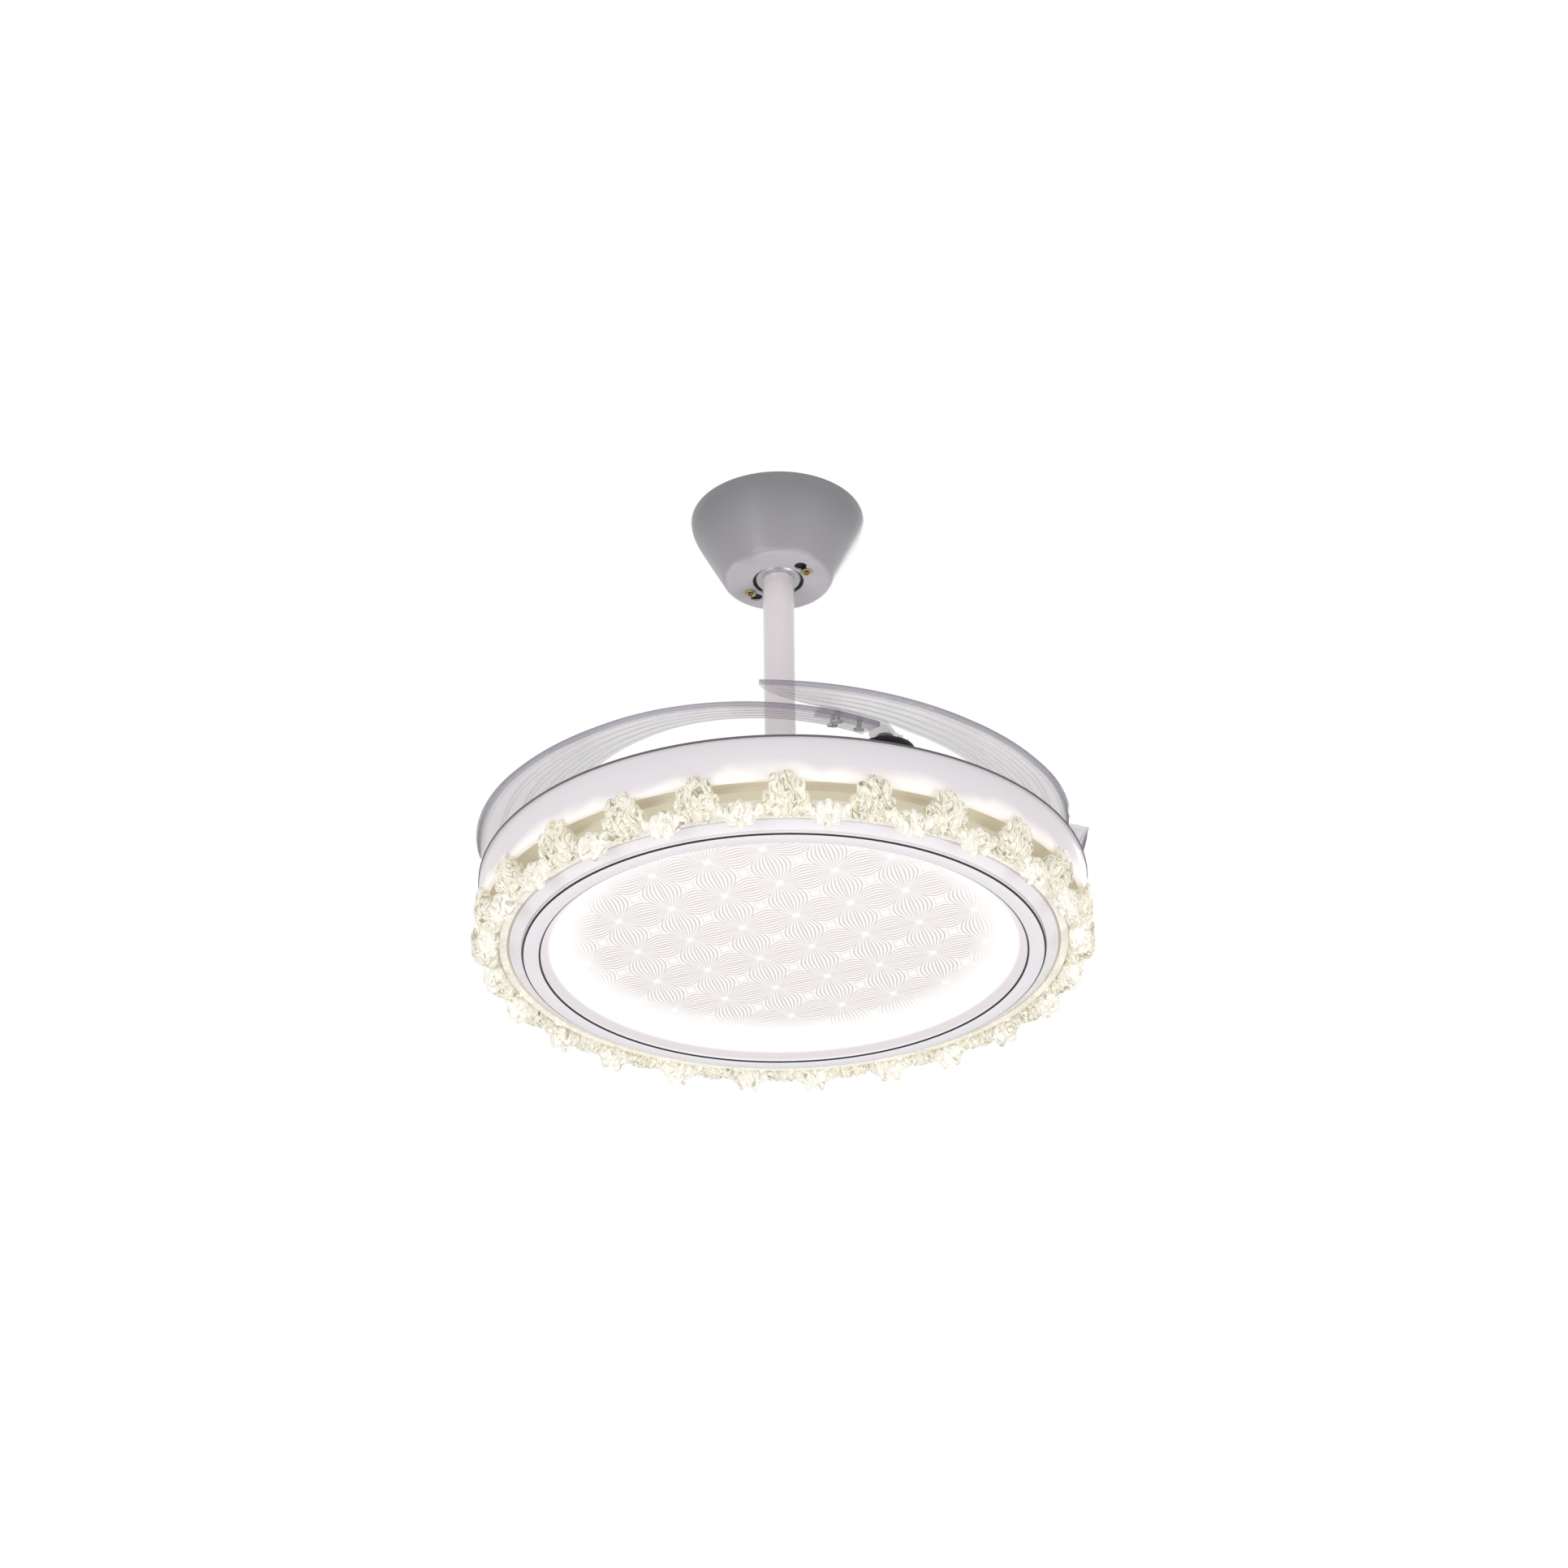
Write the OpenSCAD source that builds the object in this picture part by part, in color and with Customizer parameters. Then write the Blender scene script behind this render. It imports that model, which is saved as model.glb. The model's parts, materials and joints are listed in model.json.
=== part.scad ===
// Ceiling fan with four folding blades, an LED light panel and a crystal ring.
// Millimetres. The origin is the centre of the face that lies on the ceiling,
// +Z points up into the ceiling and -Y points to the viewer.

/* [Overall] */
// Height from the ceiling down to the foot of the lamp's bevelled flange
drop = 430; // [400:1:700]

/* [Ceiling bracket] */
// Length of the strap that is screwed to the ceiling
strap_l = 124; // [112:1:134]
// Width of the strap
strap_w = 34; // [30:1:44]
// Thickness of the bracket's steel
bracket_t = 3; // [2:0.5:4]
// Distance between the two ceiling screw slots
slot_spacing = 88.9; // [86:0.1:92]
// Width of a ceiling screw slot
slot_w = 5.4; // [4:0.1:6]
// Length of a ceiling screw slot
slot_l = 14; // [10:0.5:18]
// Radius of the hole for the house wires
wire_hole_r = 7; // [5:0.5:8]
// Clear distance between the bracket's two legs
leg_gap = 66; // [64:1:72]
// Width of a leg
leg_w = 28; // [20:1:32]
// Thickness of the cradle that carries the ball
cradle_t = 6; // [4:0.5:8]
// Radius of the cradle
cradle_r = 40; // [38:0.5:42]
// Length of the terminal block, across its wires
terminal_l = 24; // [20:1:27]
// Width of the terminal block
terminal_w = 16; // [12:1:20]
// Height of the terminal block
terminal_h = 11; // [9:0.5:14]

/* [Canopy] */
// Radius of the canopy's rim
canopy_r = 75.5; // [74:0.5:90]
// Height of the canopy
canopy_h = 63; // [60:1:80]
// Gap between the canopy's rim and the ceiling
canopy_gap = 3; // [1:0.5:5]
// Wall of the canopy
canopy_wall = 1.6; // [1:0.1:2.5]
// Height of the straight wall under the rim
canopy_straight = 6; // [4:0.5:14]
// Height over which the straight wall turns into the cone
canopy_turn = 6; // [3:0.5:12]
// Radius at which the cone would meet the bottom face
shoulder_r = 46.2; // [45:0.1:56]
// Radius of the rounded edge between the cone and the bottom face
canopy_edge_r = 7; // [3:0.5:9]
// Radius of the hole that the downrod swings in
canopy_hole_r = 22; // [21:0.5:24]
// Radius of the circle that the two canopy screws lie on
canopy_screw_pcr = 29; // [28:0.5:34]
// Direction of the first canopy screw
canopy_screw_az = -33; // [-40:1:-25]
// Radius of a canopy screw
canopy_screw_r = 2.4; // [2:0.1:2.6]

/* [Hanger ball and downrod] */
// Radius of the hanger ball
ball_r = 28; // [26:0.5:30]
// Height of the ball's centre over the cradle's underside
ball_rise = 20; // [18:0.5:21]
// Height of the ball's flat top over its centre
ball_top = 18; // [14:0.5:22]
// Depth of the ball's flat bottom under its centre
ball_bottom = 21; // [20:0.5:23]
// Outer radius of the downrod
rod_r = 13.35; // [12:0.05:14]
// Wall of the downrod
rod_wall = 2; // [1.2:0.1:3]
// Length of the downrod above the ball's centre
rod_above_ball = 16; // [13:0.5:19]
// Radius of the cross pins through the downrod
cross_pin_r = 3; // [2:0.1:4]

/* [Coupling] */
// Radius of the yoke that joins the downrod to the motor shaft
yoke_r = 19; // [17.5:0.5:22]
// Height of the yoke
yoke_h = 50; // [46:1:56]
// Depth of the downrod's socket in the yoke
socket_h = 28; // [22:1:30]
// Thread depth of the motor shaft in the yoke
shaft_in_yoke = 18; // [12:1:20]
// Radius of a set screw in the yoke
set_screw_r = 2.5; // [2:0.1:3]
// Radius of the yoke cover at its open foot
cover_foot_r = 60; // [50:1:62]
// Radius of the yoke cover's black top ring
cover_top_r = 27; // [25:0.5:30]
// Height from the yoke's top to the top of the yoke cover
cover_over_yoke = 23; // [18:0.5:26]
// Wall of the yoke cover
cover_wall = 2; // [1.5:0.1:3]
// Gap between the turning gear cover and the yoke
yoke_gap = 9.4; // [6:0.2:16]
// Gap between the turning gear cover and the yoke cover's foot
cover_gap = 3.4; // [2:0.2:6]
// Radius of the white rod collar at its foot
collar_r = 24; // [20:0.5:26]
// Height of the white rod collar
collar_h = 12; // [8:0.5:16]

/* [Motor] */
// Outer radius of the motor's rotor
rotor_r = 66; // [66:0.5:70]
// Height of the rotor
rotor_h = 28.8; // [28:0.2:34]
// Thickness of the rotor's end plates
rotor_plate = 2.5; // [2:0.1:3]
// Thickness of the rotor's side wall
rotor_wall = 3.3; // [2.5:0.1:4]
// Gap between the lamp's top plate and the rotor
motor_gap = 9; // [8:0.5:14]
// Outer radius of the hollow motor shaft
shaft_r = 9; // [8:0.1:9.5]
// Bore radius of the motor shaft, for the lamp's wires
shaft_bore_r = 5; // [4:0.1:6]
// Outer radius of the two ball bearings
bearing_r = 17.5; // [17:0.1:18]
// Width of a ball bearing
bearing_w = 7; // [6:0.5:8]
// Radius of a bearing ball
bearing_ball_r = 2; // [1.8:0.1:2.1]
// Radius of the stator
stator_r = 58; // [54:0.5:58]
// Stack height of the stator
stator_h = 12; // [8:0.5:13]
// Number of stator poles
pole_count = 12; // [9:3:15]
// Radial thickness of the magnet ring
magnet_t = 4; // [3:0.1:4.1]
// Radius of the screws that hold the blade carrier on the rotor
carrier_screw_r = 2; // [1.5:0.1:2.2]

/* [Blade carrier] */
// Number of blades
blade_count = 4; // [4:1:4]
// Direction of the first blade's pivot
pivot_az = -62; // [-75:1:-50]
// Thickness of the carrier plate
carrier_t = 2.5; // [2:0.1:4]
// Width of a carrier arm
arm_w = 26; // [20:1:30]
// Radius of the disc at the end of an arm
arm_end_r = 23; // [21:0.5:26]
// Radius of a pivot pin
pivot_pin_r = 4; // [3:0.1:5]
// Height of a blade holder's hub over the gears
hub_rise = 6.2; // [5:0.2:8]
// Outer radius of a blade holder's hub
hub_r = 12; // [10:0.5:14]
// Mean radius of a return spring
spring_r = 8; // [7:0.1:9]
// Wire radius of a return spring
spring_wire_r = 0.6; // [0.5:0.05:0.7]
// Turns of a return spring
spring_turns = 3; // [2:1:3]
// Space for a return spring under the arm
spring_space = 7; // [6:0.5:9]

/* [Synchronising gears] */
// Gear module
gear_module = 2.5; // [2.4:0.02:2.6]
// Teeth of the full synchronising ring
ring_teeth = 124; // [120:4:124]
// Teeth of a full blade pinion
pinion_teeth = 14; // [14:1:16]
// Face width of the gears
gear_t = 5; // [3:0.5:7]
// Backlash cut from every tooth
backlash = 0.4; // [0.3:0.05:0.6]
// Radial width of the synchronising ring under its teeth
ring_w = 14.6; // [10:0.2:18]
// Angle that the blades swing out
fold_angle = 140; // [120:5:140]

/* [Blades] */
// Angle that a folded blade covers, seen from above
blade_sweep = 118; // [110:1:120]
// Radius of the folded blade's outer edge at its root
root_edge_r = 204; // [198:1:208]
// Radius of the folded blade's outer edge at its belly
belly_edge_r = 242; // [236:1:246]
// Radius of the folded blade's outer edge at its tip
tip_edge_r = 250; // [244:1:252]
// Place of the belly along the blade
belly_at = 0.53; // [0.45:0.01:0.6]
// Width of a blade at its root
root_w = 36; // [30:1:40]
// Greatest width of a blade
blade_w = 75; // [60:1:80]
// Place along the blade where it reaches its full width
full_w_at = 0.7; // [0.6:0.01:0.8]
// Pitch of a blade
blade_pitch = 21; // [14:0.5:22]
// Thickness of a blade
blade_t = 3.5; // [3:0.1:4]
// Height of a blade's centre line over the carrier at its root
blade_root_rise = 2.5; // [2:0.1:4]
// Further rise of the centre line from root to tip
blade_tip_rise = 13; // [12:0.5:16]
// Number of stiffening ribs under a blade
rib_count = 5; // [3:1:6]
// Height of a rib
rib_h = 0.8; // [0.4:0.1:1]
// Radius of a blade screw
blade_screw_r = 2; // [1.5:0.1:2.2]

/* [Lamp drum] */
// Outer radius of the white drum wall
drum_r = 246; // [245.5:0.5:260]
// Height of the drum's top over the flange foot
drum_top = 61.2; // [58:0.2:70]
// Height of the drum wall's lower edge over the flange foot
drum_bottom = 24; // [20:0.5:30]
// Sheet thickness of the drum wall
drum_wall = 1.6; // [1:0.1:2]
// Width of the drum wall's turned-in top flange
drum_flange = 14; // [8:0.5:16]
// Thickness of the dark top plate
plate_t = 1.6; // [1:0.1:3]
// Overhang of the top plate past the drum wall
plate_lip = 0.8; // [0.4:0.1:2]
// How far the LED channel's wall lies inside the drum's outside
channel_recess = 24; // [20:0.5:26]
// Wall of the LED channel
channel_wall = 2; // [1.5:0.1:2.5]
// Height of the channel's lower edge over the flange foot
channel_bottom = 8; // [6:0.5:10]
// Height of the channel's ledge over the flange foot
ledge_z = 34; // [33.5:0.5:40]

/* [Crystal ring] */
// Number of large crystals, with a small one after each
crystal_count = 24; // [18:1:24]
// Turn of the first large crystal off the front
crystal_az = 0.7; // [-3:0.1:3]
// How far the large crystals stand out past the drum wall
crystal_proud = 5.6; // [4.5:0.1:8]
// How far the small crystals stay inside the drum wall
small_crystal_in = 0; // [-2:0.5:5]
// Radial thickness of the clear ring that the crystals are bonded to
crystal_ring_w = 6; // [4:0.5:8]
// Top of the large crystals over the flange foot
crystal_top = 33; // [28:0.5:33]
// Depth of the large crystals under the flange foot
large_foot = 3; // [1:0.5:5]
// Depth of the small crystals under the flange foot
small_foot = 11; // [8:0.5:14]
// Greatest width of a large crystal
crystal_w = 36; // [28:0.5:36]
// Greatest width of a small crystal
small_crystal_w = 27; // [20:0.5:27]

/* [Light panel] */
// How far the top of the flange's bevel lies inside the LED channel's wall
bevel_in = 5; // [4:0.5:8]
// Width of the flange's bevel, seen from below
bevel_w = 7; // [5:0.5:11]
// Width of the flat trim ring
trim_w = 15; // [12:0.5:20]
// How far the trim ring stands below the flange foot
trim_proud = 2.5; // [1:0.1:3]
// Height of the flange's bevel
bevel_h = 4; // [3.5:0.5:6]
// Height of the flange's wall in the LED channel
flange_wall_h = 22; // [16:0.5:30]
// Thickness of the diffuser
diffuser_t = 2.2; // [1.5:0.1:3]
// Height of the diffuser's panel over the flange foot
panel_z = 12; // [10:0.5:16]
// How far the patterned light plate lies inside the trim ring
pattern_in = 13; // [12:0.5:25]
// How far the LED board lies inside the trim ring
board_in = 20; // [16:1:35]
// Height of the LED board over the flange foot
board_z = 24; // [22:0.5:28]
// How far the board's posts lie inside its edge
post_in = 14; // [8:0.5:20]
// Length of the LED driver's case
driver_l = 110; // [80:1:130]
// Width of the LED driver's case
driver_w = 52; // [40:1:60]
// Height of the LED driver's case
driver_h = 24; // [18:0.5:26]
// Length of the fan controller's case
controller_l = 96; // [80:1:130]
// Width of the fan controller's case
controller_w = 60; // [40:1:70]
// Height of the fan controller's case
controller_h = 22; // [18:0.5:26]
// Clear distance between the two cases
case_gap = 60; // [50:1:80]

/* [Hidden] */
$fn = 96;

// Clearances
fit = 0.1;         // round pieces of one body, one inside the other
seat = 0.3;        // a piece at rest on its seat
run = 0.4;         // a moving piece beside a fixed one
pin_play = 0.05;   // a hub that turns on a pin
over = 1;          // how far a cutter reaches past what it cuts

// Heights, from the ceiling down
canopy_top_z = -canopy_gap;
canopy_bottom_z = canopy_top_z - canopy_h;
cradle_z = canopy_bottom_z + canopy_wall + seat;
ball_z = cradle_z + ball_rise;
rod_top_z = ball_z + rod_above_ball;

// Heights, from the flange foot up
foot_z = -drop;
plate_top_z = foot_z + drum_top;
plate_z = plate_top_z - plate_t;
rotor_z = plate_top_z + motor_gap;
rotor_top_z = rotor_z + rotor_h;
rotor_mid_z = rotor_z + rotor_h / 2;
carrier_top_z = rotor_top_z + carrier_t;
gear_z = carrier_top_z + seat;
gear_top_z = gear_z + gear_t;
hub_top_z = gear_top_z + hub_rise;
lid_z = gear_top_z + seat;
lid_t = 1.5;
yoke_z = lid_z + lid_t + yoke_gap;
yoke_top_z = yoke_z + yoke_h;
rod_bottom_z = yoke_top_z - socket_h;
cover_top_z = yoke_top_z + cover_over_yoke;
cover_foot_z = lid_z + lid_t + cover_gap;
ledge_top_z = foot_z + ledge_z;
panel_bottom_z = foot_z + panel_z;
board_bottom_z = foot_z + board_z;
board_t = 1.6;

// Radii of the lamp, from the drum's outside in
channel_r = drum_r - channel_recess;
crystal_seat_r = channel_r + crystal_ring_w;
bevel_r = channel_r - bevel_in;
trim_r = bevel_r - bevel_w;
trim_inner_r = trim_r - trim_w;
pattern_r = trim_inner_r - pattern_in;
board_r = trim_inner_r - board_in;

// Radii of the gears
ring_pitch_r = gear_module * ring_teeth / 2;
pinion_pitch_r = gear_module * pinion_teeth / 2;
pivot_r = ring_pitch_r + pinion_pitch_r;
tooth_add = 0.8 * gear_module;
tooth_ded = tooth_add + run;
ring_root_r = ring_pitch_r - tooth_ded;
ring_bore_r = ring_root_r - ring_w;
rim_r = ring_bore_r - run;
rim_w = 3.6;
ring_turn = fold_angle * pinion_teeth / ring_teeth;
pressure_angle = 20;

module at_pivots(extra = 0)
    for (k = [0 : blade_count - 1])
        rotate([0, 0, pivot_az + extra + k * 360 / blade_count])
            children();

module ring(r_in, r_out, h)
    difference() {
        cylinder(r = r_out, h = h);
        translate([0, 0, -over])
            cylinder(r = r_in, h = h + 2 * over);
    }

// Closed skin over a row of rings that have as many points each.
module loft(rings) {
    n = len(rings[0]);
    last = len(rings) - 1;
    sides = [
        for (i = [0 : last - 1], j = [0 : n - 1])
            let (a = i * n + j, b = i * n + (j + 1) % n)
                each [[a, b, b + n], [a, b + n, a + n]]
    ];
    polyhedron(
        points = [for (r = rings) each r],
        faces = concat(
            [[for (j = [n - 1 : -1 : 0]) j]],
            sides,
            [[for (j = [0 : n - 1]) last * n + j]]
        )
    );
}

// ---------------------------------------------------------------- ceiling mount

module cradle_pocket() {
    translate([0, 0, ball_z])
        sphere(r = ball_r + seat);
    slot_half = rod_r + 1.5;
    translate([-slot_half, 0, cradle_z - over])
        cube([2 * slot_half, cradle_r + over, cradle_t + 2 * over]);
}

module at_canopy_screws()
    for (side = [0, 180])
        rotate([0, 0, canopy_screw_az + side])
            translate([canopy_screw_pcr, 0, 0])
                children();

module ceiling_bracket() {
    leg_x = leg_gap / 2;
    color("#c9c9c6")
    difference() {
        union() {
            translate([-strap_l / 2, -strap_w / 2, -bracket_t])
                cube([strap_l, strap_w, bracket_t]);
            for (side = [-1, 1])
                translate([side * (leg_x + bracket_t / 2) - bracket_t / 2, -leg_w / 2, cradle_z])
                    cube([bracket_t, leg_w, -bracket_t / 2 - cradle_z]);
            translate([0, 0, cradle_z])
                cylinder(r = cradle_r, h = cradle_t);
        }
        cradle_pocket();
        for (side = [-1, 1])
            translate([side * slot_spacing / 2, 0, -bracket_t - over])
                ceiling_slot();
        translate([wire_hole_r + 8, 0, -bracket_t - over])
            cylinder(r = wire_hole_r, h = bracket_t + 2 * over);
        at_canopy_screws()
            translate([0, 0, cradle_z - over])
                cylinder(r = canopy_screw_r + fit, h = cradle_t + 2 * over);
    }
}

module ceiling_slot() {
    reach = (slot_l - slot_w) / 2;
    h = bracket_t + 2 * over;
    for (side = [-1, 1])
        translate([side * reach, 0, 0])
            cylinder(r = slot_w / 2, h = h);
    translate([-reach, -slot_w / 2, 0])
        cube([2 * reach, slot_w, h]);
}

module terminal_block() {
    block = [terminal_l, terminal_w, terminal_h];
    ways = 3;
    edge = 5;
    color("#f2f0e6")
    translate([edge - leg_gap / 2, -block.y / 2, -bracket_t - block.z])
        difference() {
            cube(block);
            for (k = [0 : ways - 1])
                translate([block.x * (k + 0.5) / ways, -over, block.z / 2])
                    rotate([-90, 0, 0])
                        cylinder(r = 2.4, h = block.y + 2 * over);
        }
}

// How far the wall has left the straight at a height under the rim: nothing, then a soft turn.
function canopy_lean(d) = d - canopy_straight + norm([d - canopy_straight, canopy_turn]);

// Radius of the canopy's outside at a height under its rim: a straight wall, then a cone.
function canopy_radius(d) =
    canopy_r - (canopy_r - shoulder_r) * (canopy_lean(d) - canopy_lean(0)) / (canopy_lean(canopy_h) - canopy_lean(0));

// A row of points on the canopy's outside, or this far inside it: the wall, then the rounded edge.
function canopy_skin(inset) =
    let (
        steps = 8,
        slope = atan((canopy_r - shoulder_r) / (canopy_h - canopy_straight)),
        turn = 90 - slope,
        edge = canopy_edge_r * tan(turn / 2),
        low = canopy_h - edge * cos(slope),
        centre = [shoulder_r - edge, canopy_bottom_z + canopy_edge_r]
    )
    concat(
        [for (d = concat([0], [for (i = [0 : steps]) canopy_straight / 2 + (low - canopy_straight / 2) * i / steps]))
            [canopy_radius(d) - inset, canopy_top_z - d]],
        [for (a = [slope + turn / 4 : turn / 4 : 90.01])
            centre + (canopy_edge_r - inset) * [cos(a), -sin(a)]]
    );

module canopy_profile() {
    outside = canopy_skin(0);
    inside = canopy_skin(canopy_wall);
    polygon(concat(
        outside,
        [[canopy_hole_r, canopy_bottom_z], [canopy_hole_r, canopy_bottom_z + canopy_wall]],
        [for (i = [len(inside) - 1 : -1 : 0]) inside[i]]
    ));
}

module canopy() {
    color("#b4b2b6")
    difference() {
        rotate_extrude()
            canopy_profile();
        at_canopy_screws()
            keyhole();
    }
}

// A round hole for the screw's head and a narrow slot that its shank slides into.
module keyhole() {
    head_r = 2 * canopy_screw_r + 0.6;
    z = canopy_bottom_z - over;
    h = canopy_wall + 2 * over;
    slot_half = canopy_screw_r + run;
    translate([0, 0, z])
        cylinder(r = slot_half, h = h);
    slide = 1.7 * head_r;
    translate([-slot_half, -slide, z])
        cube([2 * slot_half, slide, h]);
    translate([0, -slide, z])
        cylinder(r = head_r, h = h);
}

module canopy_screws() {
    head_r = 2 * canopy_screw_r;
    head_h = 2.6;
    head_z = canopy_bottom_z - seat;
    color("#b89a50")
    at_canopy_screws()
        difference() {
            union() {
                translate([0, 0, head_z])
                    cylinder(r = canopy_screw_r, h = cradle_z + cradle_t - head_z);
                translate([0, 0, head_z - head_h])
                    cylinder(r1 = head_r * 0.7, r2 = head_r, h = head_h);
            }
            translate([-head_r, -0.5, head_z - head_h - over])
                cube([2 * head_r, 1, over + 1.2]);
        }
}

// ---------------------------------------------------------------- hanger and coupling

module cross_pin_at(z, half_l, grow = 0)
    translate([-half_l, 0, z])
        rotate([0, 90, 0])
            cylinder(r = cross_pin_r + grow, h = 2 * half_l);

ball_pin_z = ball_z + 6;
ball_pin_half = ball_r - 4;
yoke_pin_z = rod_bottom_z + socket_h / 2;
yoke_pin_half = yoke_r - 0.5;

module hanger_ball() {
    color("#c2c2c4")
    difference() {
        intersection() {
            translate([0, 0, ball_z])
                sphere(r = ball_r);
            translate([0, 0, ball_z - ball_bottom])
                cylinder(r = ball_r + over, h = ball_bottom + ball_top);
        }
        translate([0, 0, ball_z - ball_r])
            cylinder(r = rod_r + fit, h = 2 * ball_r);
        cross_pin_at(ball_pin_z, ball_pin_half, fit);
    }
}

module ball_pin()
    color("#8c8c90")
        cross_pin_at(ball_pin_z, ball_pin_half - seat);

module downrod() {
    color("#dcd6d6")
    difference() {
        translate([0, 0, rod_bottom_z])
            ring(rod_r - rod_wall, rod_r, rod_top_z - rod_bottom_z);
        cross_pin_at(ball_pin_z, ball_r, fit);
        cross_pin_at(yoke_pin_z, yoke_r, fit);
    }
}

module motor_yoke() {
    color("#9a9a9e")
    difference() {
        translate([0, 0, yoke_z])
            cylinder(r = yoke_r, h = yoke_h);
        translate([0, 0, rod_bottom_z])
            cylinder(r = rod_r + fit, h = socket_h + over);
        translate([0, 0, yoke_z - over])
            cylinder(r = shaft_r + fit, h = shaft_in_yoke + over);
        translate([0, 0, yoke_z])
            cylinder(r = shaft_bore_r, h = yoke_h);
        cross_pin_at(yoke_pin_z, yoke_r + over, fit);
        yoke_screw_cut();
    }
}

yoke_screw_z = yoke_z + shaft_in_yoke / 2;

module yoke_screw_cut()
    for (side = [0, 180])
        rotate([0, 0, side])
            translate([0, 0, yoke_screw_z])
                rotate([90, 0, 0])
                    cylinder(r = set_screw_r + fit, h = yoke_r + over);

module yoke_set_screws() {
    color("#77777a")
    for (side = [0, 180])
        rotate([0, 0, side])
            translate([0, -shaft_r - seat, yoke_screw_z])
                rotate([90, 0, 0])
                    cylinder(r = set_screw_r, h = yoke_r - shaft_r + 3);
}

module yoke_pin()
    color("#8c8c90")
        cross_pin_at(yoke_pin_z, yoke_pin_half);

// Radius of the yoke cover's outside, from its foot (t = 0) to its top ring (t = 1).
function cover_radius(t) = cover_top_r + (cover_foot_r - cover_top_r) * pow(1 - t, 1.6);

module yoke_cover() {
    steps = 10;
    top_ring_h = 3;
    bell_h = cover_top_z - top_ring_h - cover_foot_z;
    bore_r = rod_r + fit;
    shelf_r = yoke_r + 2;
    outside = [for (i = [0 : steps]) [cover_radius(i / steps), cover_foot_z + bell_h * i / steps]];
    inside = [for (i = [steps : -1 : 0])
        [cover_radius(i / steps) - cover_wall, cover_foot_z + bell_h * i / steps]];
    color("#2c2a2d")
    rotate_extrude()
        union() {
            polygon(concat(outside, inside));
            translate([bore_r, cover_top_z - top_ring_h])
                square([cover_top_r - bore_r, top_ring_h]);
            translate([bore_r, yoke_top_z + seat])
                square([shelf_r - bore_r, cover_over_yoke - seat - over]);
        }
}

// White bell that closes the cover's top round the downrod.
module rod_collar() {
    steps = 8;
    bore_r = rod_r + fit;
    neck_r = rod_r + 2.2;
    flare = [for (i = [0 : steps])
        let (t = i / steps) [neck_r + (collar_r - neck_r) * pow(1 - t, 2.4), cover_top_z + collar_h * t]];
    color("#e6e2e4")
    rotate_extrude()
        polygon(concat(flare, [[bore_r, cover_top_z + collar_h], [bore_r, cover_top_z]]));
}

// ---------------------------------------------------------------- motor, fixed pieces

nut_h = 6;
nut_r = 14;
shaft_foot_z = plate_z - nut_h - 4;
bearing_inset = 0.5;
lower_bearing_z = rotor_z + bearing_inset;
upper_bearing_z = rotor_top_z - bearing_inset - bearing_w;
ball_circle_r = (shaft_r + bearing_r) / 2;
inner_race_r = ball_circle_r - bearing_ball_r - pin_play;
outer_race_r = ball_circle_r + bearing_ball_r + pin_play;
stator_z = rotor_mid_z - stator_h / 2;
stator_hub_r = shaft_r + 5;
pole_foot_r = 24;
pole_w = 7;
shoe_t = 3;

module motor_shaft()
    color("#a9a9ad")
        translate([0, 0, shaft_foot_z])
            ring(shaft_bore_r, shaft_r, yoke_z + shaft_in_yoke - shaft_foot_z);

module shaft_nuts() {
    color("#b9b9bc")
    for (z = [plate_z - nut_h, plate_top_z])
        translate([0, 0, z])
            difference() {
                cylinder(r = nut_r, h = nut_h, $fn = 6);
                translate([0, 0, -over])
                    cylinder(r = shaft_r + fit, h = nut_h + 2 * over);
            }
}

module bearing_inner_rings()
    color("#d0d0d2")
        for (z = [lower_bearing_z, upper_bearing_z])
            translate([0, 0, z])
                ring(shaft_r + fit, inner_race_r, bearing_w);

// Laminated core: a hub, and poles that end in wide shoes at the air gap.
module stator_core() {
    shoe_half = 150 / pole_count;
    spacer_h = upper_bearing_z - lower_bearing_z - bearing_w - 2 * fit;
    color("#8f8a86")
    difference() {
        union() {
            translate([0, 0, stator_z])
                linear_extrude(stator_h) {
                    circle(r = pole_foot_r);
                    for (k = [0 : pole_count - 1])
                        rotate(k * 360 / pole_count) {
                            translate([0, -pole_w / 2])
                                square([stator_r - shoe_t / 2, pole_w]);
                            intersection() {
                                difference() {
                                    circle(r = stator_r);
                                    circle(r = stator_r - shoe_t);
                                }
                                polygon([[0, 0],
                                         stator_r * 1.5 * [cos(shoe_half), -sin(shoe_half)],
                                         stator_r * 1.5 * [cos(shoe_half), sin(shoe_half)]]);
                            }
                        }
                }
            translate([0, 0, lower_bearing_z + bearing_w + fit])
                cylinder(r = stator_hub_r, h = spacer_h);
        }
        translate([0, 0, rotor_z])
            cylinder(r = shaft_r + fit, h = rotor_h);
    }
}

// One coil round each pole, with rounded ends.
module windings() {
    pole_gap_w = pole_w + 2 * fit;
    coil_t = 2.6;
    coil_gap = 2;
    coil_in_r = pole_foot_r + 4;
    coil_l = stator_r - shoe_t - coil_gap - coil_in_r;
    end_h = 2.4;
    full_w = pole_gap_w + 2 * coil_t;
    full_h = stator_h + 2 * end_h;
    color("#b5622c")
    for (k = [0 : pole_count - 1])
        rotate([0, 0, k * 360 / pole_count])
            translate([coil_in_r, 0, rotor_mid_z])
                difference() {
                    translate([0, -full_w / 2, -full_h / 2])
                        cube([coil_l, full_w, full_h]);
                    translate([-over, -pole_gap_w / 2, -stator_h / 2 - fit])
                        cube([coil_l + 2 * over, pole_gap_w, stator_h + 2 * fit]);
                }
}

// ---------------------------------------------------------------- motor, turning pieces

ear_r = 5;
ear_pcr = rotor_r + 3;

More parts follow.
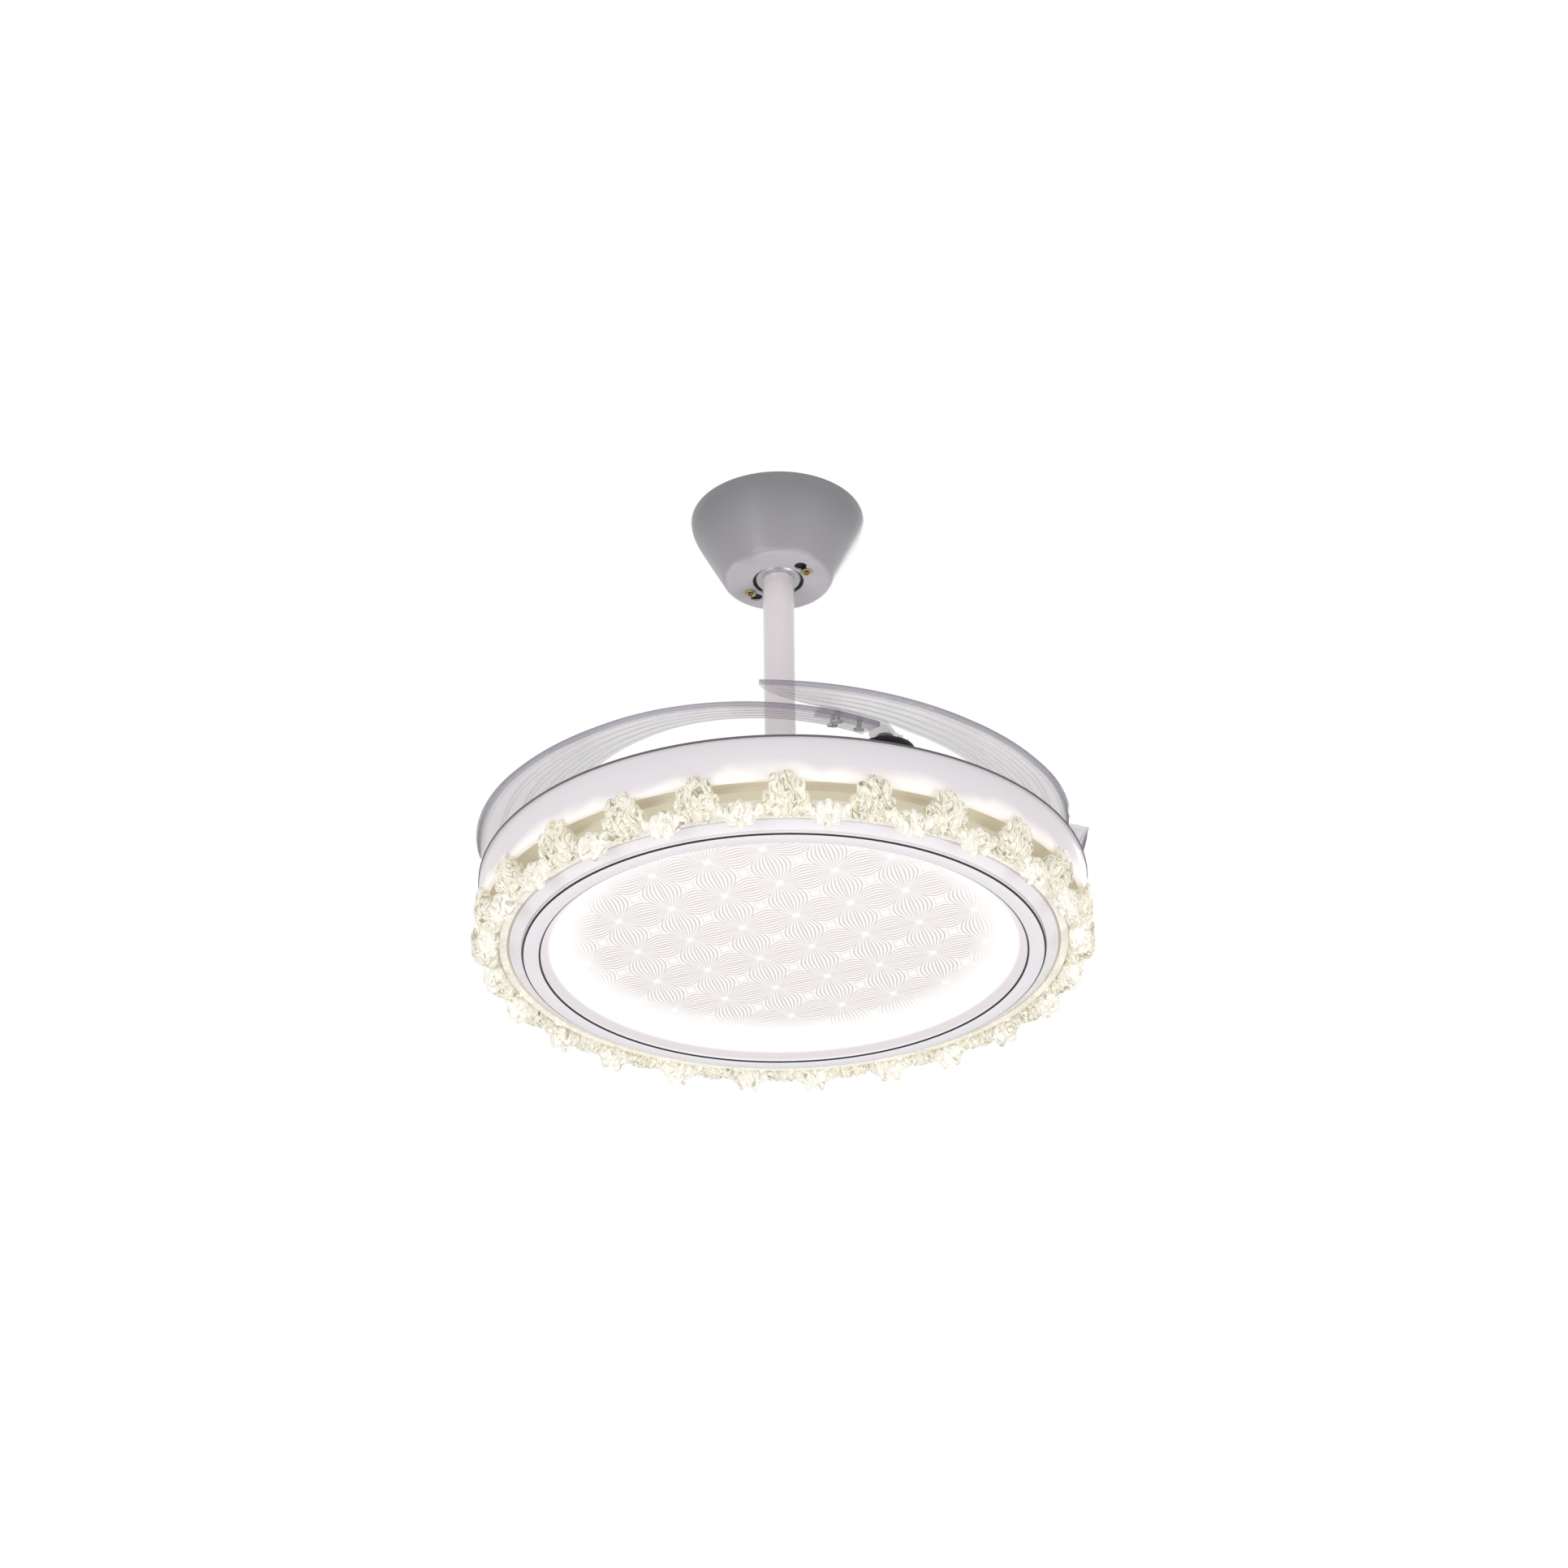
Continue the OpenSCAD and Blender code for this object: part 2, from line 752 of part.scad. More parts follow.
module rotor_half(lower) {
    z = lower ? rotor_z : rotor_mid_z;
    plate_at = lower ? rotor_z : rotor_top_z - rotor_plate;
    boss_h = bearing_inset + bearing_w;
    boss_at = lower ? rotor_z : rotor_top_z - boss_h;
    boss_r = bearing_r + 4;
    difference() {
        union() {
            translate([0, 0, z])
                ring(rotor_r - rotor_wall, rotor_r, rotor_h / 2);
            translate([0, 0, plate_at])
                cylinder(r = rotor_r - rotor_wall / 2, h = rotor_plate);
            translate([0, 0, boss_at])
                cylinder(r = boss_r, h = boss_h);
            at_pivots(45)
                translate([ear_pcr, 0, z])
                    cylinder(r = ear_r, h = rotor_h / 2);
        }
        translate([0, 0, boss_at - over])
            cylinder(r = bearing_r + fit, h = boss_h + 2 * over);
        // inside of the cup, so that the ears end at the wall
        translate([0, 0, lower ? rotor_z + rotor_plate : rotor_mid_z - over])
            ring(boss_r, rotor_r - rotor_wall, rotor_h / 2 - rotor_plate + over);
        at_pivots(45)
            translate([ear_pcr, 0, z - over])
                cylinder(r = carrier_screw_r + fit, h = rotor_h / 2 + 2 * over);
    }
}

module rotor_lower()
    color("#3a393c")
        rotor_half(true);

module rotor_upper()
    color("#444347")
        rotor_half(false);

module magnet_ring() {
    magnet_out_r = rotor_r - rotor_wall - fit;
    magnet_h = stator_h + 5;
    color("#26262a")
    translate([0, 0, rotor_mid_z - magnet_h / 2])
        ring(magnet_out_r - magnet_t, magnet_out_r, magnet_h);
}

module bearing_outer_rings()
    color("#d0d0d2")
        for (z = [lower_bearing_z, upper_bearing_z])
            translate([0, 0, z])
                ring(outer_race_r, bearing_r, bearing_w);

module bearing_balls() {
    balls = 8;
    color("#e8e8ea")
    for (z = [lower_bearing_z, upper_bearing_z], k = [0 : balls - 1])
        rotate([0, 0, k * 360 / balls])
            translate([ball_circle_r, 0, z + bearing_w / 2])
                sphere(r = bearing_ball_r);
}

carrier_hole_r = bearing_r + 7.5;
carrier_disc_r = ear_pcr + ear_r + 2;
hoop_r = rim_r - 9.6;
lid_r = ring_root_r - 6;
lid_boss_r = 4;
lid_boss_pcr = hoop_r + lid_boss_r + run;
lid_screw_r = 1.5;

// A centre disc on the rotor, a hoop, and arms with round ends.
module carrier_outline() {
    circle(r = carrier_disc_r);
    difference() {
        circle(r = rim_r);
        circle(r = hoop_r);
    }
    at_pivots() {
        translate([carrier_disc_r / 2, -arm_w / 2])
            square([pivot_r - carrier_disc_r / 2, arm_w]);
        translate([pivot_r, 0])
            circle(r = arm_end_r);
    }
}

// Black plate, with a rim on its hoop that the synchronising ring turns round.
module blade_carrier() {
    color("#1f1e21")
    difference() {
        union() {
            translate([0, 0, rotor_top_z])
                linear_extrude(carrier_t)
                    carrier_outline();
            translate([0, 0, carrier_top_z - carrier_t / 2])
                ring(rim_r - rim_w, rim_r, lid_z - carrier_top_z + carrier_t / 2);
            at_pivots(45)
                translate([lid_boss_pcr, 0, carrier_top_z - carrier_t / 2])
                    cylinder(r = lid_boss_r, h = lid_z - carrier_top_z + carrier_t / 2);
        }
        translate([0, 0, rotor_top_z - over])
            cylinder(r = carrier_hole_r, h = carrier_t + 2 * over);
        at_pivots()
            translate([pivot_r, 0, rotor_top_z - over])
                cylinder(r = pivot_pin_r + fit, h = carrier_t + 2 * over);
        at_pivots(45) {
            translate([ear_pcr, 0, rotor_top_z - over])
                cylinder(r = carrier_screw_r + fit, h = carrier_t + 2 * over);
            translate([lid_boss_pcr, 0, rotor_top_z])
                cylinder(r = lid_screw_r + fit, h = lid_z - rotor_top_z + over);
        }
    }
}

module carrier_screws()
    color("#8a8a8e")
        at_pivots(45)
            translate([ear_pcr, 0, 0]) {
                translate([0, 0, rotor_z + seat])
                    cylinder(r = carrier_screw_r, h = carrier_top_z - rotor_z - seat);
                translate([0, 0, carrier_top_z])
                    cylinder(r = 2 * carrier_screw_r, h = carrier_screw_r);
            }

module gear_cover() {
    color("#242326")
    difference() {
        translate([0, 0, lid_z])
            ring(carrier_hole_r, lid_r, lid_t);
        at_pivots(45)
            translate([lid_boss_pcr, 0, lid_z - over])
                cylinder(r = lid_screw_r + fit, h = lid_t + 2 * over);
    }
}

module cover_screws()
    color("#8a8a8e")
        at_pivots(45)
            translate([lid_boss_pcr, 0, 0]) {
                translate([0, 0, carrier_top_z])
                    cylinder(r = lid_screw_r, h = lid_z + lid_t - carrier_top_z);
                translate([0, 0, lid_z + lid_t])
                    cylinder(r = 2 * lid_screw_r, h = 1.4);
            }

pin_head_h = 1.5;
pin_head_z = rotor_top_z - spring_space - pin_head_h;
clip_t = 1;
clip_r = pivot_pin_r + 3;
clip_z = hub_top_z + seat;

module pivot_pins()
    color("#9b9ba0")
        at_pivots()
            translate([pivot_r, 0, pin_head_z]) {
                cylinder(r = pivot_pin_r, h = clip_z + clip_t + 1 - pin_head_z);
                cylinder(r = spring_r + spring_wire_r, h = pin_head_h);
            }

module pin_clips()
    color("#77777a")
        at_pivots()
            translate([pivot_r, 0, clip_z])
                ring(pivot_pin_r + fit, clip_r, clip_t);

// Torsion spring round each pivot pin: one wire, swept along a helix.
module return_springs() {
    steps = 12 * spring_turns;
    wire_sides = 6;
    pitch = (spring_space - 2 * seat - 2 * spring_wire_r) / spring_turns;
    low = rotor_top_z - spring_space + seat + spring_wire_r;
    coil = [
        for (i = [0 : steps])
            let (a = i * 360 / 12, z = low + pitch * i / 12)
                [for (j = [0 : wire_sides - 1])
                    let (b = j * 360 / wire_sides, r = spring_r + spring_wire_r * cos(b))
                        [r * cos(a), r * sin(a), z + spring_wire_r * sin(b)]]
    ];
    color("#b9bcc4")
    at_pivots()
        translate([pivot_r, 0, 0])
            loft(coil);
}

// ---------------------------------------------------------------- synchronising gears

function involute(a) = tan(a) * 180 / PI - a;

// Half of a tooth's angle at radius r, for a gear of n teeth.
function tooth_half(n, r) =
    let (pitch_r = gear_module * n / 2,
         base_r = pitch_r * cos(pressure_angle),
         slack = backlash / 2 / pitch_r * 180 / PI,
         a = acos(base_r / max(r, base_r)))
        90 / n - slack + involute(pressure_angle) - involute(a);

module tooth(n) {
    pitch_r = gear_module * n / 2;
    root_r = pitch_r - tooth_ded;
    steps = 4;
    radii = [for (i = [0 : steps]) root_r + (tooth_ded + tooth_add) * i / steps];
    sunk = 0.8;
    left = [for (r = radii) let (a = tooth_half(n, r)) r * [cos(a), sin(a)]];
    right = [for (i = [steps : -1 : 0]) let (a = -tooth_half(n, radii[i])) radii[i] * [cos(a), sin(a)]];
    foot = tooth_half(n, root_r);
    polygon(concat(
        left, right,
        [(root_r - sunk) * [cos(foot), -sin(foot)], (root_r - sunk) * [cos(foot), sin(foot)]]
    ));
}

// Ring that turns under the cover and keeps the blades in step, toothed only where it meshes.
module sync_ring() {
    ring_step = 360 / ring_teeth;
    spare = 2;
    last = ceil(ring_turn / ring_step) + spare;
    color("#d8d4c8")
    translate([0, 0, gear_z]) {
        ring(ring_bore_r, ring_root_r, gear_t);
        at_pivots()
            linear_extrude(gear_t)
                for (k = [-spare : last])
                    rotate(k * ring_step)
                        tooth(ring_teeth);
    }
}

// ---------------------------------------------------------------- blades

blade_z = carrier_top_z + blade_root_rise;
root_from = 0.06;
tongue_from = 0.04;
tongue_t = 3;
tongue_to = 0.17;

// Folded outer edge: its radius, and its height where the full width is pitched.
function edge_r(s) =
    root_edge_r + (belly_edge_r - root_edge_r) * sin(90 * min(1, s / belly_at))
    + (tip_edge_r - belly_edge_r) * max(0, (s - belly_at) / (1 - belly_at));
function full_width(s) = root_w + (blade_w - root_w) * min(1, s / full_w_at);
function edge_z(s) =
    blade_z + blade_tip_rise * s * s - full_width(s) / 2 * sin(blade_pitch);

// Width left by the rounded tip, which ends at the outer edge.
tip_from = 0.88;
function width(s) =
    let (t = max(0, (s - tip_from) / (1 - tip_from)))
        max(3, full_width(s) * sqrt(max(0, 1 - t * t)));

// A point of the blade: s along it, x across it from the outer edge, y over its underside.
function blade_point(s, x, y) =
    let (a = -blade_sweep * s,
         r = edge_r(s) - x * cos(blade_pitch) + y * sin(blade_pitch),
         z = edge_z(s) + x * sin(blade_pitch) + y * cos(blade_pitch))
        [r * cos(a), r * sin(a), z];

// Cross-section of the blade, with ribs that fan out as it widens.
function blade_section(s) =
    let (w = width(s),
         pitch = w / rib_count,
         half = min(1.6, pitch / 5),
         h = min(rib_h, half / 2))
    concat(
        [blade_point(s, 0, 0)],
        [for (k = [0 : rib_count - 1])
            let (c = (k + 0.5) * pitch)
                each [blade_point(s, c - half, 0), blade_point(s, c - half / 2, -h),
                      blade_point(s, c + half / 2, -h), blade_point(s, c + half, 0)]],
        [blade_point(s, w, 0), blade_point(s, w, blade_t), blade_point(s, 0, blade_t)]
    );

module at_blade(k)
    rotate([0, 0, pivot_az + (k - 1) * 360 / blade_count])
        children();

// Screws through holder and blade, square to the blade.
module at_blade_screws()
    for (place = [[0.085, 0.5], [0.135, 0.3], [0.135, 0.7]]) {
        x = place[1] * full_width(place[0]);
        translate(blade_point(place[0], x, 0))
            rotate([0, 0, -blade_sweep * place[0]])
                rotate([0, blade_pitch, 0])
                    children();
    }

module blade(k) {
    sections = 22;
    color("#cfc9d4")
    at_blade(k)
        difference() {
            loft([for (i = [0 : sections])
                blade_section(root_from + (1 - root_from) * sin(90 * i / sections))]);
            at_blade_screws()
                translate([0, 0, -blade_t])
                    cylinder(r = blade_screw_r + run / 2, h = 3 * blade_t);
        }
}

// Flat tongue that follows the top of the blade's root.
module tongue(from, to, steps) {
    lift = blade_t + run;
    margin = 0.12;
    loft([for (i = [0 : steps])
        let (s = from + (to - from) * i / steps, w = full_width(s), a = margin * w, b = (1 - margin) * w)
            [blade_point(s, a, lift), blade_point(s, b, lift),
             blade_point(s, b, lift + tongue_t), blade_point(s, a, lift + tongue_t)]]);
}

// Hub with the toothed sector that meshes with the ring, and the arm that carries the blade.
module blade_holder(k) {
    pinion_step = 360 / pinion_teeth;
    sector = floor(fold_angle / pinion_step) + 2;
    arm_t = 4;
    color("#e4e0e6")
    at_blade(k)
        difference() {
            union() {
                translate([pivot_r, 0, gear_z]) {
                    cylinder(r = pinion_pitch_r - tooth_ded, h = gear_t);
                    cylinder(r = hub_r, h = gear_t + hub_rise);
                    linear_extrude(gear_t)
                        for (i = [-1 : sector - 1])
                            rotate(180 - (i + 0.5) * pinion_step)
                                tooth(pinion_teeth);
                }
                hull() {
                    translate([pivot_r, 0, hub_top_z - arm_t])
                        cylinder(r = hub_r - 1, h = arm_t, $fn = 32);
                    tongue(tongue_from, tongue_from + 0.01, 1);
                }
                tongue(tongue_from, tongue_to, 4);
            }
            translate([pivot_r, 0, hub_top_z])
                cylinder(r = clip_r + run, h = 2 * hub_rise);
            translate([pivot_r, 0, gear_z - over])
                cylinder(r = pivot_pin_r + pin_play, h = gear_t + hub_rise + 2 * over);
            at_blade_screws()
                cylinder(r = blade_screw_r + fit, h = 3 * blade_t);
        }
}

module blade_screws(k) {
    head_h = 1.6;
    head_gap = rib_h + 2 * seat;
    color("#b8b8bc")
    at_blade(k)
        at_blade_screws() {
            translate([0, 0, -head_gap])
                cylinder(r = blade_screw_r, h = head_gap + blade_t + run + tongue_t - seat);
            translate([0, 0, -head_gap - head_h])
                cylinder(r = 2 * blade_screw_r, h = head_h);
        }
}

// ---------------------------------------------------------------- lamp drum

flange_top_z = plate_z - drum_wall;
drum_screw_pcr = drum_r - drum_flange / 2;
channel_flange = 16;
channel_screw_pcr = channel_r - channel_flange / 2;
drum_screw_r = 1.6;

module at_drum_screws() {
    for (a = [45 : 90 : 315])
        rotate([0, 0, a])
            translate([drum_screw_pcr, 0, 0])
                children();
    for (a = [0 : 90 : 270])
        rotate([0, 0, a])
            translate([channel_screw_pcr, 0, 0])
                children();
}

module drum_screw_cut()
    at_drum_screws()
        translate([0, 0, flange_top_z - over])
            cylinder(r = drum_screw_r + fit, h = plate_top_z - flange_top_z + 2 * over);

// Dark top plate, with cooling slots over the driver space.
module top_plate() {
    vent_count = 20;
    vent_w = 5;
    vent_l = 36;
    vent_r = 92;
    color("#3c3a3e")
    difference() {
        translate([0, 0, plate_z])
            ring(shaft_r + fit, drum_r + plate_lip, plate_t);
        for (k = [0 : vent_count - 1])
            rotate([0, 0, (k + 0.5) * 360 / vent_count])
                translate([vent_r, -vent_w / 2, plate_z - over])
                    cube([vent_l, vent_w, plate_t + 2 * over]);
        drum_screw_cut();
    }
}

module drum_shell() {
    lip = 4;
    bottom = foot_z + drum_bottom;
    color("#efecec")
    difference() {
        rotate_extrude()
            polygon([
                [drum_r, bottom + drum_wall / 2], [drum_r, plate_z],
                [drum_r - drum_flange, plate_z], [drum_r - drum_flange, flange_top_z],
                [drum_r - drum_wall, flange_top_z], [drum_r - drum_wall, bottom + drum_wall],
                [drum_r - lip, bottom + drum_wall], [drum_r - lip, bottom],
                [drum_r - drum_wall / 2, bottom]
            ]);
        drum_screw_cut();
    }
}

module drum_screws()
    color("#77777a")
        at_drum_screws() {
            translate([0, 0, flange_top_z - over])
                cylinder(r = drum_screw_r, h = plate_top_z - flange_top_z + over);
            translate([0, 0, plate_top_z])
                cylinder(r = 2 * drum_screw_r, h = drum_screw_r);
        }

// Beige channel: an upright wall hung from the top plate, and the ledge over the crystals.
module led_channel() {
    color("#d9d3b4")
    difference() {
        rotate_extrude()
            polygon([
                [channel_r, foot_z + channel_bottom], [channel_r, ledge_top_z - channel_wall],
                [drum_r - drum_wall - seat, ledge_top_z - channel_wall],
                [drum_r - drum_wall - seat, ledge_top_z],
                [channel_r, ledge_top_z], [channel_r, plate_z],
                [channel_r - channel_flange, plate_z], [channel_r - channel_flange, flange_top_z],
                [channel_r - channel_wall, flange_top_z],
                [channel_r - channel_wall, foot_z + channel_bottom]
            ]);
        drum_screw_cut();
    }
}

strip_t = 1.4;
strip_h = 10;
strip_top_z = ledge_top_z - channel_wall - 5;

module led_strip()
    color("#fff2c8")
        translate([0, 0, strip_top_z - strip_h])
            ring(channel_r + fit, channel_r + strip_t, strip_h);

// ---------------------------------------------------------------- crystal ring

crystal_ring_z = foot_z + bevel_h + seat;
crystal_step = 360 / crystal_count;
crystal_back_r = crystal_seat_r + seat;

// Clear ring on the channel's foot that every crystal is bonded to.
module crystal_ring()
    color("#f6f6f0")
        translate([0, 0, crystal_ring_z])
            ring(channel_r + fit, crystal_seat_r, strip_top_z - strip_h - seat - crystal_ring_z);

// One level of a crystal: height over the foot, half width, and inner and outer radius.
function crystal_level(z, half, r_in, r_out) =
    let (r_mid = r_out - (r_out - r_in) * 0.42)
    [[r_in, -0.75 * half, z], [r_mid, -half, z], [r_out, -0.5 * half, z],
     [r_out, 0.5 * half, z], [r_mid, half, z], [r_in, 0.75 * half, z]];

// Large crystals: the upper part stands in front of the drum wall's lower edge, and the
// underside rises outwards.
module crystals_large() {
    r = drum_r + crystal_proud;
    front_r = drum_r + run;
    proud = r - front_r;
    depth = r - crystal_back_r;
    half = crystal_w / 2;
    edge_z = foot_z + drum_bottom - run;
    color("#fffaf0")
    for (k = [0 : crystal_count - 1])
        rotate([0, 0, -90 + crystal_az + k * crystal_step])
            loft([
                crystal_level(foot_z + crystal_top, 0.4 * half, front_r + 0.1 * proud, r - 0.4 * proud),
                crystal_level((edge_z + foot_z + crystal_top) / 2, 0.66 * half, front_r, r - 0.12 * proud),
                crystal_level(edge_z, 0.8 * half, front_r, r - 0.02 * proud),
                crystal_level(edge_z - 1, 0.84 * half, crystal_back_r, r),
                crystal_level(foot_z + 0.25 * crystal_top, half, crystal_back_r, r - 0.04 * depth),
                crystal_level(foot_z - large_foot, 0.86 * half, crystal_back_r, r - 0.62 * depth)
            ]);
}

module crystals_small() {
    r = drum_r - small_crystal_in;
    depth = r - crystal_back_r;
    half = small_crystal_w / 2;
    color("#fff6e0")
    for (k = [0 : crystal_count - 1])
        rotate([0, 0, -90 + crystal_az + (k + 0.5) * crystal_step])
            loft([
                crystal_level(foot_z + 0.36 * crystal_top, 0.5 * half, crystal_back_r, r - 0.4 * depth),
                crystal_level(foot_z - 0.1 * small_foot, half, crystal_back_r, r),
                crystal_level(foot_z - small_foot, 0.5 * half, r - 0.85 * depth, r - 0.15 * depth)
            ]);
}

// ---------------------------------------------------------------- light panel

web_t = 2;
web_z = foot_z + web_t;
web_top_z = web_z + web_t;
lip_r = trim_inner_r - seat;

// Flange with the outer bevel, the web that carries the diffuser, and the wall in the channel.
module flange_ring() {
    wall_r = channel_r - channel_wall - fit;
    wall_top = foot_z + flange_wall_h;
    color("#dedae2")
    rotate_extrude()
        polygon([
            [trim_r + seat, foot_z], [bevel_r, foot_z + bevel_h], [wall_r, foot_z + bevel_h + seat],
            [wall_r, wall_top], [wall_r - web_t, wall_top],
            [wall_r - web_t, web_top_z + bevel_h], [trim_r - 2, web_top_z],
            [trim_inner_r + web_t, web_top_z], [trim_inner_r + web_t, web_z],
            [trim_r + seat, web_z]
        ]);
}

module trim_ring() {
    chamfer = 0.4;
    low = foot_z - trim_proud;
    color("#dedae2")
    rotate_extrude()
        polygon([
            [trim_inner_r, low + chamfer], [trim_inner_r + chamfer, low],
            [trim_r - chamfer, low], [trim_r, low + chamfer],
            [trim_r, web_z], [trim_inner_r, web_z]
        ]);
}

// Dished diffuser: a sloping lip inside the trim, a short wall and the panel.
module diffuser() {
    rim_top = web_top_z + diffuser_t;
    slope = 8;
    color("#fffdf8")
    rotate_extrude()
        polygon([
            [0, panel_bottom_z], [lip_r - slope - 1, panel_bottom_z],
            [lip_r - slope, foot_z + 5], [lip_r - 0.5, foot_z], [lip_r, foot_z],
            [lip_r, web_top_z + fit], [trim_r - 4, web_top_z + fit], [trim_r - 4, rim_top],
            [lip_r - slope + diffuser_t, rim_top],
            [lip_r - slope - 1 + diffuser_t, panel_bottom_z + diffuser_t],
            [0, panel_bottom_z + diffuser_t]
        ]);
}

module pattern_plate()
    color("#f3ecec")
        translate([0, 0, panel_bottom_z + diffuser_t + fit])
            cylinder(r = pattern_r, h = 1);

module at_posts()
    for (a = [30 : 60 : 330])
        rotate([0, 0, a])
            translate([board_r - post_in, 0, 0])
                children();

module led_board() {
    color("#f4f4f0")
    difference() {
        translate([0, 0, board_bottom_z])
            cylinder(r = board_r, h = board_t);
        at_posts()
            translate([0, 0, board_bottom_z - over])
                cylinder(r = 2, h = board_t + 2 * over);
    }
}

module leds() {
    chip = [5, 5, 1];
    rings = 3;
    color("#ffe9a8")
    for (i = [1 : rings], k = [0 : 10 * i - 1])
        rotate([0, 0, k * 36 / i])
            translate([board_r * (i + 0.1) / (rings + 0.6), 0, board_bottom_z - chip.z / 2])
                cube(chip, center = true);
}

module board_posts()
    color("#c8c8c4")
        at_posts()
            translate([0, 0, board_bottom_z + board_t])
                cylinder(r = 4, h = plate_z - board_bottom_z - board_t);

module led_driver() {
    color("#e8e8e8")
    translate([-driver_l / 2, case_gap / 2, plate_z - driver_h])
        cube([driver_l, driver_w, driver_h]);
}

module fan_controller() {
    color("#d8d8da")
    translate([-controller_l / 2, -case_gap / 2 - controller_w, plate_z - controller_h])
        cube([controller_l, controller_w, controller_h]);
}

ceiling_bracket();
terminal_block();
canopy();
canopy_screws();
hanger_ball();
ball_pin();
downrod();
rod_collar();
yoke_cover();
motor_yoke();
yoke_pin();
yoke_set_screws();
motor_shaft();
stator_core();
windings();
bearing_inner_rings();
shaft_nuts();
top_plate();
drum_shell();
drum_screws();
led_channel();
led_strip();
crystal_ring();
crystals_large();
crystals_small();
flange_ring();
trim_ring();
diffuser();
pattern_plate();
led_board();
leds();
board_posts();
led_driver();
fan_controller();
rotor_lower();
rotor_upper();
magnet_ring();
bearing_outer_rings();
bearing_balls();
blade_carrier();
carrier_screws();
gear_cover();
cover_screws();
pivot_pins();
pin_clips();
return_springs();
sync_ring();
blade(1);  // blade_1
blade(2);  // blade_2
blade(3);  // blade_3
blade(4);  // blade_4
blade_holder(1);  // blade_holder_1
blade_holder(2);  // blade_holder_2
blade_holder(3);  // blade_holder_3
blade_holder(4);  // blade_holder_4
blade_screws(1);  // blade_screws_1
blade_screws(2);  // blade_screws_2
blade_screws(3);  // blade_screws_3
blade_screws(4);  // blade_screws_4
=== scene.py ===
import json
import math

import bpy
from bpy.props import FloatProperty, FloatVectorProperty, IntProperty, PointerProperty
from mathutils import Matrix, Vector

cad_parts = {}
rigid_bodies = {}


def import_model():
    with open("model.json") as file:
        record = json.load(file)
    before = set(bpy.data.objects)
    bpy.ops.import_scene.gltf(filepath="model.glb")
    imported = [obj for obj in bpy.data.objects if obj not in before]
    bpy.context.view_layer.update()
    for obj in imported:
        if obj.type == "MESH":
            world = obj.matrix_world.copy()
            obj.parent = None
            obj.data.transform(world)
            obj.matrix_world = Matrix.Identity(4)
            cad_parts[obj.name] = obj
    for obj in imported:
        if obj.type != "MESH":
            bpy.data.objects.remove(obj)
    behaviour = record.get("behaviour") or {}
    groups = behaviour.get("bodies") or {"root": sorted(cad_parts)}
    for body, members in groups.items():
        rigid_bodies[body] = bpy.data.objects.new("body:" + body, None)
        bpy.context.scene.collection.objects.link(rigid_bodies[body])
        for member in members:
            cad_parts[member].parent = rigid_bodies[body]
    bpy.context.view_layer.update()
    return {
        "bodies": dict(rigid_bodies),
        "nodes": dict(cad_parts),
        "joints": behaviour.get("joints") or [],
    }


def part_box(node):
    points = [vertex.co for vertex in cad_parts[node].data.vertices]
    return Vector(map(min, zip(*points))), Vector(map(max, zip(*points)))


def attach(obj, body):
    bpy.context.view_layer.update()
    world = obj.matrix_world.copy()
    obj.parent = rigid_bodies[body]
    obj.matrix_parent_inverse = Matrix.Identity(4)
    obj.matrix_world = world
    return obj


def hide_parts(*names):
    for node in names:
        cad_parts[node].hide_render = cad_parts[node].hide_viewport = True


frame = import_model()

bl_info = {
    "name": "Ceiling Fan with Folding Blades",
    "version": (1, 0, 0),
    "blender": (4, 5, 0),
    "location": "View3D > Sidebar > Ceiling Fan",
    "description": "Finishes a ceiling fan whose clear blades fold over a lamp drum with a crystal ring",
    "category": "Object",
}

MM = 0.001

# Heights, radii and bodies that the frame gives
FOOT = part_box("flange_ring")[0].z
DRUM_LOW, DRUM_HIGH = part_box("drum_shell")
ROD_LOW, ROD_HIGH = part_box("downrod")
CANOPY_LOW, CANOPY_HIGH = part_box("canopy")
TRIM_LOW, TRIM_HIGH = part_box("trim_ring")
ROD_R, DRUM_R, CANOPY_R, TRIM_R = ROD_HIGH.x, DRUM_HIGH.x, CANOPY_HIGH.x, TRIM_HIGH.x
BLADE_KEYS = [name for name in sorted(frame["bodies"]) if name.startswith("blade_")]
PIVOTS = {j["child"]: Vector(j["pos_m"]) for j in frame["joints"] if j["child"] in BLADE_KEYS}

WELD = 0.002 * MM       # points closer than this are merged
DISH_GAP = 0.3 * MM     # between the trim ring and the diffuser
ROD_STEPS = 96          # faces round the pieces on the downrod
RING_STEPS = 192        # faces round the drum and the rings of the light panel


# ---------------------------------------------------------------- colours and nodes

def linear(hex_colour):
    """sRGB hex to the linear colour that a shader takes."""
    parts = [int(hex_colour[i:i + 2], 16) / 255 for i in (1, 3, 5)]
    return [p / 12.92 if p <= 0.04045 else ((p + 0.055) / 1.055) ** 2.4 for p in parts] + [1.0]


def add(owner, kind, inputs=None, stops=(), **settings):
    """Adds a node to a material or world. Its inputs are values, sRGB hex colours, sockets, or nodes
    whose first output in use is linked. Stops are the places and colours of a colour ramp."""
    tree = owner.node_tree
    made = tree.nodes.new("ShaderNode" + kind)
    for name, value in settings.items():
        setattr(made, name, value)
    for key, value in (inputs or {}).items():
        if isinstance(value, bpy.types.Node):
            value = next(socket for socket in value.outputs if socket.enabled)
        if isinstance(value, bpy.types.NodeSocket):
            tree.links.new(value, made.inputs[key])
        else:
            made.inputs[key].default_value = linear(value) if isinstance(value, str) else value
    if stops:
        elements = made.color_ramp.elements
        for share, _ in stops[1:-1]:
            elements.new(share)
        elements[0].position, elements[-1].position = stops[0][0], stops[-1][0]
        for element, (_, colour) in zip(elements, stops):
            element.color = linear(colour)
    return made


